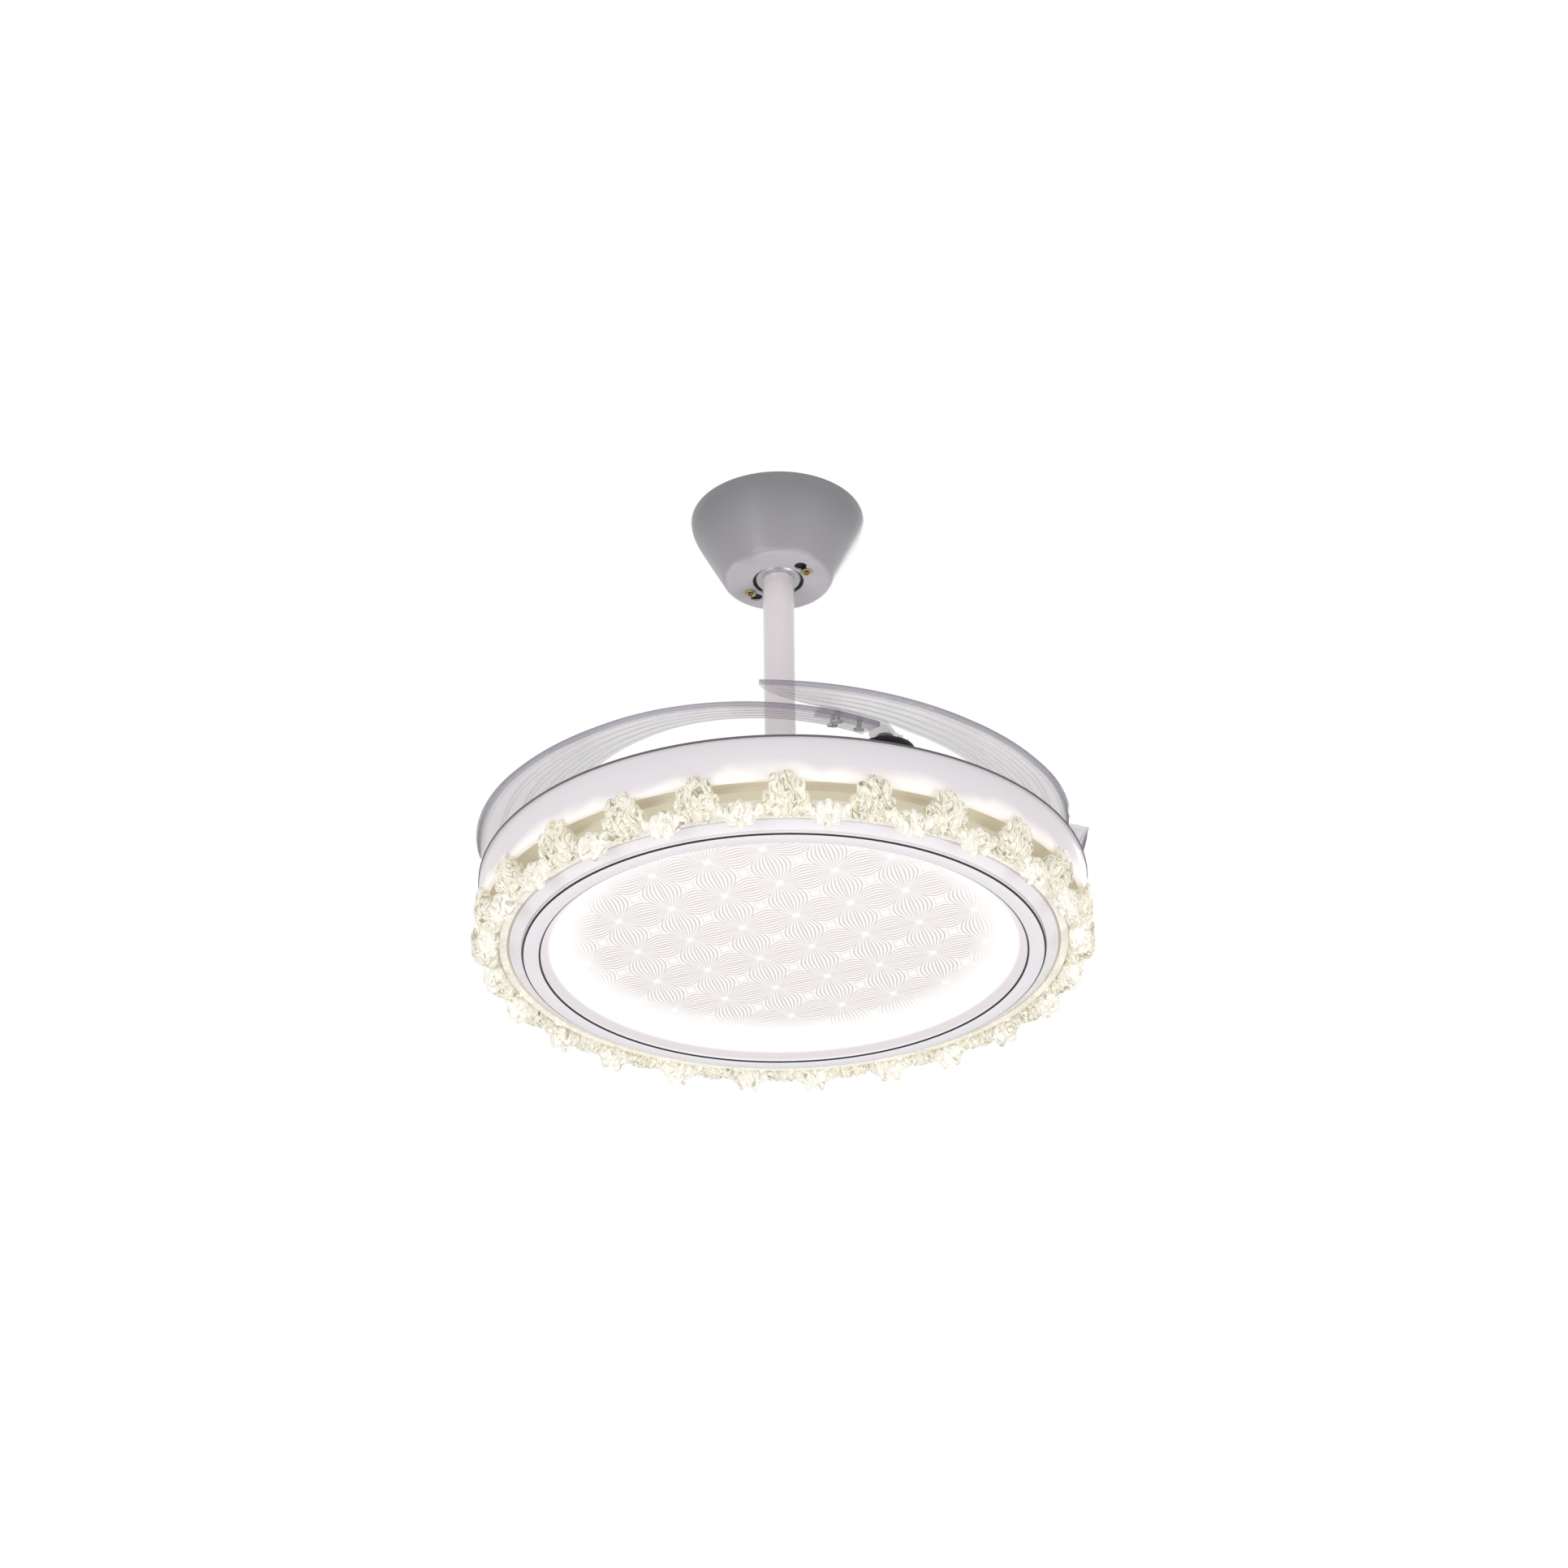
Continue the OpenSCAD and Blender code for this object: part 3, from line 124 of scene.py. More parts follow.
def start(name):
    """A new material with no nodes but the object's own coordinates."""
    material = bpy.data.materials.new(name)
    material.use_nodes = True
    material.node_tree.nodes.clear()
    return material, add(material, "TexCoord").outputs["Object"]


def surface(material, inputs):
    """Ends a material with its shader."""
    add(material, "OutputMaterial", {"Surface": add(material, "BsdfPrincipled", inputs)})
    return material


def per(size_mm):
    """Texture scale for a grain of this many millimetres."""
    return 1000 / size_mm


def mottle(material, place, size_mm, low, high, detail=2):
    """A value or colour that wanders between low and high, in patches of size_mm."""
    cloud = add(material, "TexNoise", {"Vector": place, "Scale": per(size_mm), "Detail": detail})
    if isinstance(low, float):
        return add(material, "MapRange", {"Value": cloud, "From Min": 0.3, "From Max": 0.7,
                                          "To Min": low, "To Max": high})
    return add(material, "Mix", {0: cloud, 6: low, 7: high}, data_type="RGBA")


def orange_peel(material, place):
    """The bump of sprayed paint that has run together, 2.4 mm wide and 0.03 mm deep."""
    peel = add(material, "TexNoise", {"Vector": place, "Scale": per(2.4), "Detail": 1})
    return add(material, "Bump", {"Height": peel, "Distance": 0.03 * MM, "Strength": 0.5})


def wavering_height(material, place, size_mm, low_mm, high_mm):
    """The height of a point with a drift added, so that a border at one height wanders."""
    drift = mottle(material, place, size_mm, low_mm * MM, high_mm * MM, 1)
    return add(material, "Math", {0: add(material, "SeparateXYZ", {"Vector": place}).outputs["Z"], 1: drift})


def from_axis(material, place, forward=0.0):
    """Distance from the fan's axis, or from an upright line this far in front of it."""
    flat = add(material, "VectorMath", {0: place, 1: (1, 1, 0), 2: (0, forward, 0)},
               operation="MULTIPLY_ADD")
    return add(material, "VectorMath", {0: flat}, operation="LENGTH")


# Distance between the bands of a wave texture of scale 1, in metres: straight ones and diagonal ones
BAND, DIAGONAL_BAND = math.tau / 20, math.tau / 10 / math.sqrt(3)
FADE_OUT = {"To Min": 1.0, "To Max": 0.0}


# ---------------------------------------------------------------- materials

def stoved_enamel(name, pale, dark):
    """Stove enamel on steel tube: even, glossy, with the faint orange peel of sprayed paint."""
    material, place = start(name)
    return surface(material, {
        "Base Color": mottle(material, place, 90, dark, pale),
        "Roughness": mottle(material, place, 25, 0.26, 0.35),
        "Coat Weight": 0.35, "Coat Roughness": 0.12, "IOR": 1.5, "Normal": orange_peel(material, place)})


def enamel_with_painted_shade(name, stops):
    """Grey stove enamel with painted light and shade: drawn lighter at the canopy's lower face and darker up
    towards its rim, which stands in for light from below.
    """
    material, place = start(name)
    # painted shade: the colour ramp grows darker with height, from the lower face up to the rim
    up = add(material, "MapRange", {
        "Value": wavering_height(material, place, 30, -0.5, 0.5),
        "From Min": CANOPY_LOW.z, "From Max": CANOPY_HIGH.z - 10 * MM})
    return surface(material, {
        "Base Color": add(material, "ValToRGB", {"Fac": up}, stops),
        "Roughness": mottle(material, place, 25, 0.38, 0.46),
        "Coat Weight": 0.25, "Coat Roughness": 0.16, "IOR": 1.5, "Normal": orange_peel(material, place)})


def enamel_with_painted_glow(name):
    """White stove enamel with a painted glow along its lower edge, which stands in for the scattered light of
    the crystals before it.
    """
    material, place = start(name)
    sizes = bpy.context.scene.fan_drum
    # painted glow: the enamel's emission fades in towards the drum's lower edge
    glow = add(material, "MapRange", {
        "Value": wavering_height(material, place, 34, -4, 5),
        "From Min": DRUM_LOW.z + 1 * MM, "From Max": DRUM_LOW.z + 15 * MM, **FADE_OUT},
        interpolation_type="SMOOTHSTEP")
    return surface(material, {
        "Base Color": mottle(material, place, 90, sizes.enamel_shade, sizes.enamel),
        "Roughness": 0.34, "Coat Weight": 0.2, "Coat Roughness": 0.15, "IOR": 1.5,
        "Emission Color": add(material, "Mix", {0: glow, 6: "#000000", 7: "#fff4dc"}, data_type="RGBA"),
        "Emission Strength": 0.28, "Normal": orange_peel(material, place)})


def powder_coat(name, colour):
    """Powder coat on pressed steel: dull, with a grain of 0.6 mm that breaks up the highlight."""
    material, place = start(name)
    grain = add(material, "TexNoise", {"Vector": place, "Scale": per(0.6), "Detail": 2})
    return surface(material, {
        "Base Color": colour, "IOR": 1.5, "Roughness": mottle(material, place, 12, 0.44, 0.58),
        "Normal": add(material, "Bump", {"Height": grain, "Distance": 0.05 * MM, "Strength": 0.6})})


def moulded_abs(name, pale, dark, roughness=0.35):
    """Moulded ABS: a soft sheen, slight flow marks and a fine spark-eroded grain."""
    material, place = start(name)
    grain = add(material, "TexNoise", {"Vector": place, "Scale": per(0.8), "Detail": 1})
    return surface(material, {
        "Base Color": mottle(material, place, 45, dark, pale, 1), "IOR": 1.53,
        "Roughness": mottle(material, place, 8, roughness - 0.05, roughness + 0.05),
        "Normal": add(material, "Bump", {"Height": grain, "Distance": 0.008 * MM, "Strength": 0.1})})


def zinc_plate(name, pale, dark):
    """Zinc-plated steel: grey, with the faint crystals of the plating."""
    material, place = start(name)
    spangle = add(material, "TexVoronoi", {"Vector": place, "Scale": per(3.5)})
    return surface(material, {
        "Base Color": add(material, "Mix", {0: spangle, 6: pale, 7: dark}, data_type="RGBA"),
        "Metallic": 1.0, "Roughness": mottle(material, place, 6, 0.28, 0.45)})


def ground_steel(name, colour, roughness):
    """Ground or turned steel: bright, with fine tool lines round the axis, 0.5 mm apart."""
    material, place = start(name)
    height = add(material, "SeparateXYZ", {"Vector": place}).outputs["Z"]
    lines = add(material, "TexNoise", {"W": height, "Scale": per(0.5)}, noise_dimensions="1D")
    spread = add(material, "MapRange", {"Value": lines, "To Min": roughness - 0.08,
                                        "To Max": roughness + 0.12})
    return surface(material, {"Base Color": colour, "Metallic": 1.0, "Roughness": spread})


def polished_brass(name):
    """Polished brass: warm, a little tarnished in patches."""
    material, place = start(name)
    return surface(material, {
        "Base Color": mottle(material, place, 3, "#a58b5c", "#dcc79a"), "Metallic": 1.0,
        "Roughness": mottle(material, place, 1.5, 0.14, 0.34)})


def laminated_steel(name):
    """Stacked motor laminations: sheets of 0.5 mm, drawn 6.3 mm apart so that they show."""
    material, place = start(name)
    wave = add(material, "TexWave", {"Vector": place, "Scale": BAND * per(6.28)}, bands_direction="Z")
    return surface(material, {
        "Base Color": add(material, "Mix", {0: wave.outputs["Fac"], 6: "#55504d", 7: "#a19b96"},
                          data_type="RGBA"),
        "Metallic": 1.0, "Roughness": 0.5})


def enamelled_wire(name):
    """Enamelled copper wire: glossy strands of 0.8 mm side by side, drawn 5.8 mm apart so that they show."""
    material, place = start(name)
    wave = add(material, "TexWave", {"Vector": place, "Scale": DIAGONAL_BAND * per(5.8)},
               bands_direction="DIAGONAL").outputs["Fac"]
    return surface(material, {
        "Base Color": add(material, "Mix", {0: wave, 6: "#6d2f14", 7: "#c9733a"}, data_type="RGBA"),
        "Metallic": 1.0, "Roughness": 0.28, "Coat Weight": 0.6,
        "Normal": add(material, "Bump", {"Height": wave, "Distance": 0.3 * MM, "Strength": 1.0})})


def ferrite(name):
    """Sintered ferrite magnet: charcoal, dull and slightly porous."""
    material, place = start(name)
    return surface(material, {
        "Base Color": mottle(material, place, 1.2, "#1d1d20", "#34343a", 4), "Roughness": 0.75})


def board_lacquer(name):
    """White solder lacquer on an aluminium board: flat white, a little creamy in patches."""
    material, place = start(name)
    return surface(material, {
        "Base Color": mottle(material, place, 14, "#e9e8e2", "#f7f7f3"), "Roughness": 0.4,
        "Coat Weight": 0.2})


def lit_phosphor(name, colour, strength):
    """The yellow phosphor of a lit LED: it shines, a little unevenly from chip to chip."""
    material, place = start(name)
    return surface(material, {
        "Base Color": "#8c866a", "Roughness": 0.5, "Emission Strength": strength,
        "Emission Color": mottle(material, place, 9, colour, "#fbf6dc")})


def channel_abs_with_painted_glow(name):
    """Beige ABS of the channel: olive in the shade of the ledge, with a faint painted glow that stands in for
    a trace of the strip's light.
    """
    material, place = start(name)
    # painted glow: a faint emission stands in for the strip's light on the channel
    return surface(material, {
        "Base Color": mottle(material, place, 30, "#d9d2c2", "#e0dbce"), "Roughness": 0.42,
        "IOR": 1.53, "Emission Color": "#e9e3d3", "Emission Strength": 0.12})


def crystal_with_painted_glow(name, stops, clear, glow):
    """Cast clear resin with a painted glow that stands in for the light from behind: nearly white, with
    painted upright streaks of grey and olive that stand in for what it bends into sight from behind. The
    streaks are narrow bands of a pattern whose patches are 11 mm wide and twice as high."""
    material, place = start(name)
    tall = add(material, "Mapping", {"Vector": place, "Scale": (1.0, 1.0, 0.5)})
    streaks = add(material, "TexNoise", {"Vector": tall, "Scale": per(11), "Detail": 2,
                                         "Roughness": 0.5, "Distortion": 1.0})
    colour = add(material, "ValToRGB", {"Fac": streaks}, stops)
    # painted glow and painted streaks: the streak colours are also emitted, for the light that comes through
    # from behind
    return surface(material, {
        "Base Color": colour, "Transmission Weight": clear, "IOR": 1.5, "Roughness": 0.08,
        "Coat Weight": 0.4, "Coat Roughness": 0.05, "Emission Color": colour, "Emission Strength": glow,
        "Normal": add(material, "Bump", {"Height": streaks, "Distance": 1.5 * MM, "Strength": 0.4})})


def tinted_acrylic(name):
    """Clear acrylic sheet with a lilac tint: each of its two faces lets nearly three quarters of the
    light through, and it looks darker along its ribs and its edges."""
    material, _ = start(name)
    sizes = bpy.context.scene.fan_blades
    across = add(material, "SeparateXYZ", {"Vector": add(material, "UVMap", uv_map="UVMap")}).outputs["X"]
    turns = add(material, "Math", {0: across, 1: float(sizes.ribs)}, operation="MULTIPLY")
    rib = add(material, "Math", {0: turns, 1: 0.5}, operation="PINGPONG")
    rib = add(material, "MapRange", {"Value": rib, "From Min": 0.36, "From Max": 0.49, "To Max": 0.4},
              interpolation_type="SMOOTHSTEP")
    # the bead along the outer edge is thicker, and so darker
    bead = add(material, "MapRange", {"Value": across, "From Min": 0.025, "From Max": 0.1, **FADE_OUT},
               interpolation_type="SMOOTHSTEP")
    line = add(material, "Math", {0: rib, 1: bead}, operation="MAXIMUM")
    return surface(material, {
        "Base Color": add(material, "Mix", {0: line, 6: sizes.tint, 7: sizes.rib_tint}, data_type="RGBA"),
        "Alpha": add(material, "MapRange", {"Value": line, "To Min": 0.28, "To Max": 0.66}),
        "IOR": 1.49, "Roughness": 0.12})


def clear_abs(name):
    """Clear moulded holder: it looks like pale lilac glass, denser where one looks along its faces."""
    material, place = start(name)
    slant = add(material, "LayerWeight", {"Blend": 0.3}).outputs["Facing"]
    return surface(material, {
        "Base Color": mottle(material, place, 20, "#dcd7de", "#e9e5ea", 1), "IOR": 1.5, "Roughness": 0.2,
        "Alpha": add(material, "MapRange", {"Value": slant, "To Min": 0.25, "To Max": 0.6})})


def plate_with_painted_shadow_line(name, face, edge):
    """White enamelled plate whose edge beyond the drum is painted dark: a painted shadow that shows as a thin
    line over the drum.
    """
    material, place = start(name)
    # painted shadow: beyond the drum's radius the plate is drawn in the dark colour
    lip = add(material, "Math", {0: from_axis(material, place), 1: DRUM_R + 0.1 * MM},
              operation="GREATER_THAN")
    return surface(material, {
        "Base Color": add(material, "Mix", {0: lip, 6: face, 7: edge}, data_type="RGBA"),
        "IOR": 1.5, "Roughness": mottle(material, place, 12, 0.4, 0.55)})


# The starbursts of the light panel lie on a lattice with these two steps, in millimetres.
# Bundles of curved rays run from each star to its four neighbours.
STAR_STEP_A = Vector((42.6, -19.9))
STAR_STEP_B = Vector((12.6, 54.6))
STAR_ORIGIN = Vector((10.0, -51.0))
RAYS = 6.5      # rays in each half of a bundle
# The etching fades out between these two radii, round a line this far in front of the fan's axis
ETCHED_TO, PLAIN_FROM, ETCHING_FORWARD = 150 * MM, 176 * MM, 14 * MM


def etched_opal(name):
    """Opal acrylic lit from behind, etched with bundles of fine curved rays between stars."""
    material, place = start(name)
    sizes = bpy.context.scene.fan_panel
    area = STAR_STEP_A.x * STAR_STEP_B.y - STAR_STEP_A.y * STAR_STEP_B.x
    rows = [Vector((STAR_STEP_B.y, -STAR_STEP_B.x)) / area, Vector((-STAR_STEP_A.y, STAR_STEP_A.x)) / area]
    away = []
    for row in rows:
        # 0 in the middle between two stars and 0.5 at a star
        step = add(material, "VectorMath", {0: place, 1: (row.x / MM, row.y / MM, 0)},
                   operation="DOT_PRODUCT")
        step = add(material, "Math", {0: step, 1: row.dot(STAR_ORIGIN) + 0.5}, operation="SUBTRACT")
        away.append(add(material, "Math", {0: step, 1: 0.5}, operation="PINGPONG"))
    long_way, short_way, along_a = [
        add(material, "Math", {0: away[0], 1: away[1]}, operation=operation)
        for operation in ("MAXIMUM", "MINIMUM", "LESS_THAN")]
    # a ray's number: its distance off the bundle's middle, as a share of the bundle's half width there
    off = add(material, "Math", {0: long_way, 1: -2.0, 2: 1.0}, operation="MULTIPLY_ADD")
    swing = add(material, "Math", {0: short_way, 1: math.pi}, operation="MULTIPLY")
    width = add(material, "Math", {0: swing}, operation="COSINE")
    share = add(material, "Math", {0: off, 1: width}, operation="DIVIDE")
    stray = add(material, "TexNoise", {"Vector": place, "Scale": per(26), "Detail": 1})
    turn = add(material, "Math", {0: share, 1: RAYS * math.tau, 2: stray}, operation="MULTIPLY_ADD")
    ray = add(material, "Math", {0: turn}, operation="COSINE")
    seen = add(material, "MapRange", {"Value": ray, "From Min": -0.6, "From Max": 0.7, **FADE_OUT})
    # a bundle ends in white at its two stars, it is lens-shaped, and the panel's border stays plain
    for value, low, high, kind in [
            (short_way, 0.4, 0.49, "SMOOTHSTEP"), (share, 0.66, 1.04, "SMOOTHSTEP"),
            (from_axis(material, place, ETCHING_FORWARD), ETCHED_TO, PLAIN_FROM, "LINEAR")]:
        mask = add(material, "MapRange", {"Value": value, "From Min": low, "From Max": high, **FADE_OUT},
                   interpolation_type=kind)
        seen = add(material, "Math", {0: seen, 1: mask}, operation="MULTIPLY")
    # the dish's sloping border gets less of the light, all but the innermost tenth of its width
    slope_r = TRIM_R - sizes.trim_width - DISH_GAP - 0.9 * sizes.slope
    border = add(material, "MapRange", {"Value": from_axis(material, place), "From Min": slope_r,
                                        "From Max": slope_r + 1.5 * MM})
    colour = add(material, "Mix", {0: along_a, 6: "#cfc9c7", 7: "#cdc3c0"}, data_type="RGBA")
    colour = add(material, "Mix", {0: seen, 6: sizes.light, 7: colour}, data_type="RGBA")
    colour = add(material, "Mix", {0: border, 6: colour, 7: "#ddd5d4"}, data_type="RGBA")
    return surface(material, {"Base Color": "#6a686c", "Roughness": 0.35, "IOR": 1.49,
                              "Emission Color": colour, "Emission Strength": 0.86})


MATERIALS = {
    # the canopy's ramp is painted light and shade: lightest at the lower face, darker up to the rim
    "canopy_enamel": (enamel_with_painted_shade, "Grey stoved enamel", [
        (0.0, "#d4d2d6"), (0.025, "#b3b1b5"), (0.06, "#a09ea2"), (0.5, "#959497"), (1.0, "#7e7e81")]),
    "white_enamel": (enamel_with_painted_glow, "White stoved enamel"),
    "rod_enamel": (stoved_enamel, "Rod stoved enamel", "#e9e4e4", "#e2dcdd"),
    "zinc": (zinc_plate, "Zinc-plated steel", "#c9cacc", "#a8a9ac"),
    "screw_zinc": (zinc_plate, "Zinc-plated screws", "#b5b6ba", "#8f9094"),
    "brass": (polished_brass, "Polished brass"),
    "black_coat": (powder_coat, "Black powder coat", "#1b1a1d"),
    # painted shade for the canopy's inside
    "canopy_inside_shade": (powder_coat, "Dark powder coat", "#3a373b"),
    # the top plate's second colour is a painted shadow line along its edge
    "lipped": (plate_with_painted_shadow_line, "Lipped enamelled plate", "#f0edef", "#5b595d"),
    "clear_abs": (clear_abs, "Clear lilac ABS"),
    "black_abs": (moulded_abs, "Black moulded ABS", "#232124", "#1a181b"),
    "white_abs": (moulded_abs, "White moulded ABS", "#ece9ed", "#e2dfe4"),
    "trim_abs": (moulded_abs, "Pale lilac moulded ABS", "#f2f0f2", "#edebee", 0.3),
    "nylon": (moulded_abs, "Natural nylon", "#ded9cc", "#d2cdbf", 0.45),
    "beige": (channel_abs_with_painted_glow, "Beige moulded ABS"),
    "strip": (lit_phosphor, "Lit LED strip", "#ebe6d6", 0.5),
    "chips": (lit_phosphor, "Lit LED chips", "#ffe9a8", 1.2),
    "bearing": (ground_steel, "Ground bearing steel", "#c4c4c8", 0.2),
    "shaft": (ground_steel, "Turned shaft steel", "#a8a8ac", 0.32),
    "ball": (ground_steel, "Brushed hanger ball", "#cfcfd2", 0.3),
    "laminations": (laminated_steel, "Laminated core steel"),
    "copper": (enamelled_wire, "Enamelled copper wire"),
    "ferrite": (ferrite, "Sintered ferrite"),
    "board": (board_lacquer, "White board lacquer"),
    # the crystals' ramps are painted streaks, and their last number is the strength of a painted glow
    "crystal": (crystal_with_painted_glow, "Cast crystal resin", [
        (0.26, "#77776f"), (0.34, "#e9e2c8"), (0.40, "#fffdf2"), (0.445, "#fffef4"), (0.465, "#b9b59c"),
        (0.485, "#f7f2de"), (0.53, "#fffef4"), (0.56, "#e8e1c6"), (0.585, "#8f8e80"), (0.605, "#efead6"),
        (0.66, "#fffef2"), (0.70, "#a3a08a"), (0.76, "#f6f1dc")], 0.3, 0.1),
    "small_crystal": (crystal_with_painted_glow, "Cast crystal resin, lit", [
        (0.28, "#b3af9c"), (0.36, "#fdfbf0"), (0.45, "#fffef8"), (0.475, "#ddd6bf"), (0.5, "#fdfbf0"),
        (0.57, "#fffef8"), (0.60, "#bcb7a4"), (0.63, "#f6f2e2"), (0.70, "#fffdf4"), (0.76, "#d2ccb8")],
        0.2, 0.11),
    "clear_ring": (crystal_with_painted_glow, "Clear moulded ring", [
        (0.3, "#e4dfcc"), (0.45, "#fffdf2"), (0.55, "#f2eedd"), (0.7, "#fffdf4")], 0.1, 0.12),
    "acrylic": (tinted_acrylic, "Lilac tinted acrylic"),
    "opal": (etched_opal, "Etched opal acrylic"),
}
_made = {}


def finish_of(key):
    """The material of this key, made the first time that it is asked for."""
    if key not in _made:
        make, *values = MATERIALS[key]
        _made[key] = make(*values)
    return _made[key]


def dress(finishes):
    """Gives CAD nodes their materials, by node name and material key."""
    for node, key in finishes.items():
        slots = frame["nodes"][node].data.materials
        slots.clear()
        slots.append(finish_of(key))


# ---------------------------------------------------------------- modelling

def clear_selection():
    """Leaves edit mode and deselects everything."""
    if bpy.context.object and bpy.context.object.mode != "OBJECT":
        bpy.ops.object.mode_set(mode="OBJECT")
    bpy.ops.object.select_all(action="DESELECT")


def pick(*pieces):
    """Selects these pieces alone, the last one active."""
    clear_selection()
    for piece in pieces:
        piece.select_set(True)
    bpy.context.view_layer.objects.active = pieces[-1]


def name_it(name):
    """Names the active piece and its mesh."""
    piece = bpy.context.object
    piece.name = name
    piece.data.name = name
    return piece


def settle(piece):
    """Moves the piece's place into its mesh."""
    pick(piece)
    bpy.ops.object.transform_apply(location=True, rotation=True, scale=True)
    return piece


def modify(piece, kind, **settings):
    """Gives a piece a modifier with these settings."""
    modifier = piece.modifiers.new(kind.title(), kind)
    for name, value in settings.items():
        setattr(modifier, name, value)


def apply_all(piece):
    """Applies the piece's modifiers in order."""
    pick(piece)
    for modifier in list(piece.modifiers):
        bpy.ops.object.modifier_apply(modifier=modifier.name)


def tidy(piece, sharp=35):
    """Merges doubles, turns the normals outwards and smooths edges that bend less than this many degrees."""
    pick(piece)
    bpy.ops.object.mode_set(mode="EDIT")
    bpy.ops.mesh.select_all(action="SELECT")
    bpy.ops.mesh.remove_doubles(threshold=WELD)
    bpy.ops.mesh.normals_make_consistent(inside=False)
    bpy.ops.object.mode_set(mode="OBJECT")
    bpy.ops.object.shade_smooth_by_angle(angle=math.radians(sharp))


def coat(piece, key, body, node):
    """Gives a piece its material, its body and the CAD node that it stands for."""
    piece.data.materials.clear()
    piece.data.materials.append(finish_of(key))
    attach(piece, body)
    dress({node: key})
    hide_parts(node)


def paint_faces(piece, key, test):
    """A second material on the faces whose middle and normal pass a test."""
    piece.data.materials.append(finish_of(key))
    for face in piece.data.polygons:
        if test(face.center, face.normal):
            face.material_index = len(piece.data.materials) - 1


def turned(name, profile, steps, closed=True):
    """Spins a row of (radius, height) points round the upright axis."""
    clear_selection()
    (radius, height), rest = profile[0], list(profile[1:])
    bpy.ops.mesh.primitive_plane_add(size=MM, location=(radius, 0, height))
    piece = settle(name_it(name))
    bpy.ops.object.mode_set(mode="EDIT")
    bpy.ops.mesh.select_all(action="SELECT")
    bpy.ops.mesh.merge(type="CENTER")
    if closed:
        rest.append(profile[0])
    for r, z in rest:
        bpy.ops.mesh.extrude_region_move(TRANSFORM_OT_translate={"value": (r - radius, 0, z - height)})
        radius, height = r, z
    bpy.ops.mesh.select_all(action="SELECT")
    bpy.ops.mesh.remove_doubles(threshold=WELD)
    bpy.ops.mesh.spin(steps=steps, angle=math.tau, center=(0, 0, 0), axis=(0, 0, 1))
    tidy(piece)
    return piece


def cut_out(piece, *cutters):
    """Cuts these pieces out of a piece and deletes them."""
    for cutter in cutters:
        modify(piece, "BOOLEAN", operation="DIFFERENCE", solver="EXACT", object=cutter)
    apply_all(piece)
    clear_selection()
    for cutter in cutters:
        cutter.select_set(True)
    bpy.ops.object.delete()
    tidy(piece, 30)


def joined(name, pieces):
    """Makes one piece of several."""
    pick(*pieces)
    bpy.ops.object.join()
    return name_it(name)


def copies(piece, turns):
    """Copies of a piece turned round the upright axis, each with its own mesh."""
    made = []
    for turn in turns:
        pick(piece)
        bpy.ops.object.duplicate()
        twin = bpy.context.object
        twin.data.transform(Matrix.Rotation(turn, 4, "Z"))
        made.append(twin)
    pick(piece)
    bpy.ops.object.delete()
    return made


def cylinder(name, radius, low, high, x, y):
    """An upright cylinder to cut with."""
    clear_selection()
    bpy.ops.mesh.primitive_cylinder_add(vertices=48, radius=radius, depth=high - low,
                                        location=(x, y, (low + high) / 2))
    return settle(name_it(name))


def block(name, size, centre):
    """A block to cut with."""
    clear_selection()
    bpy.ops.mesh.primitive_cube_add(size=1, location=centre)
    piece = name_it(name)
    piece.scale = size
    return settle(piece)


# ---------------------------------------------------------------- sizes and colours

LENGTH = {"unit": "LENGTH", "subtype": "DISTANCE"}
ANGLE = {"unit": "ROTATION", "subtype": "ANGLE"}
COLOUR = {"size": 4, "subtype": "COLOR"}


class CanopySizes(bpy.types.PropertyGroup):
    """Sizes of the canopy and its screws"""
    shoulder: FloatProperty(
        name="Shoulder", description="Radius at which the cone would meet the bottom",
        default=46.2 * MM, **LENGTH)
    straight: FloatProperty(
        name="Straight wall", description="Height of the wall under the rim", default=6 * MM, **LENGTH)
    turn: FloatProperty(
        name="Turn", description="Height over which the wall turns into the cone", default=6 * MM, **LENGTH)
    edge: FloatProperty(
        name="Edge", description="Radius of the rounded edge under the cone", default=7 * MM, **LENGTH)
    wall: FloatProperty(name="Wall", description="Sheet thickness", default=1.6 * MM, **LENGTH)
    hole: FloatProperty(
        name="Hole", description="Radius of the hole that the downrod swings in", default=22 * MM, **LENGTH)
    screw_circle: FloatProperty(
        name="Screw circle", description="Radius that the canopy screws lie on", default=29 * MM, **LENGTH)
    screw_turn: FloatProperty(
        name="Screw direction", description="Direction of the first canopy screw",
        default=math.radians(-33), **ANGLE)
    screw_head: FloatProperty(
        name="Screw head", description="Radius of a canopy screw's head", default=4.8 * MM, **LENGTH)


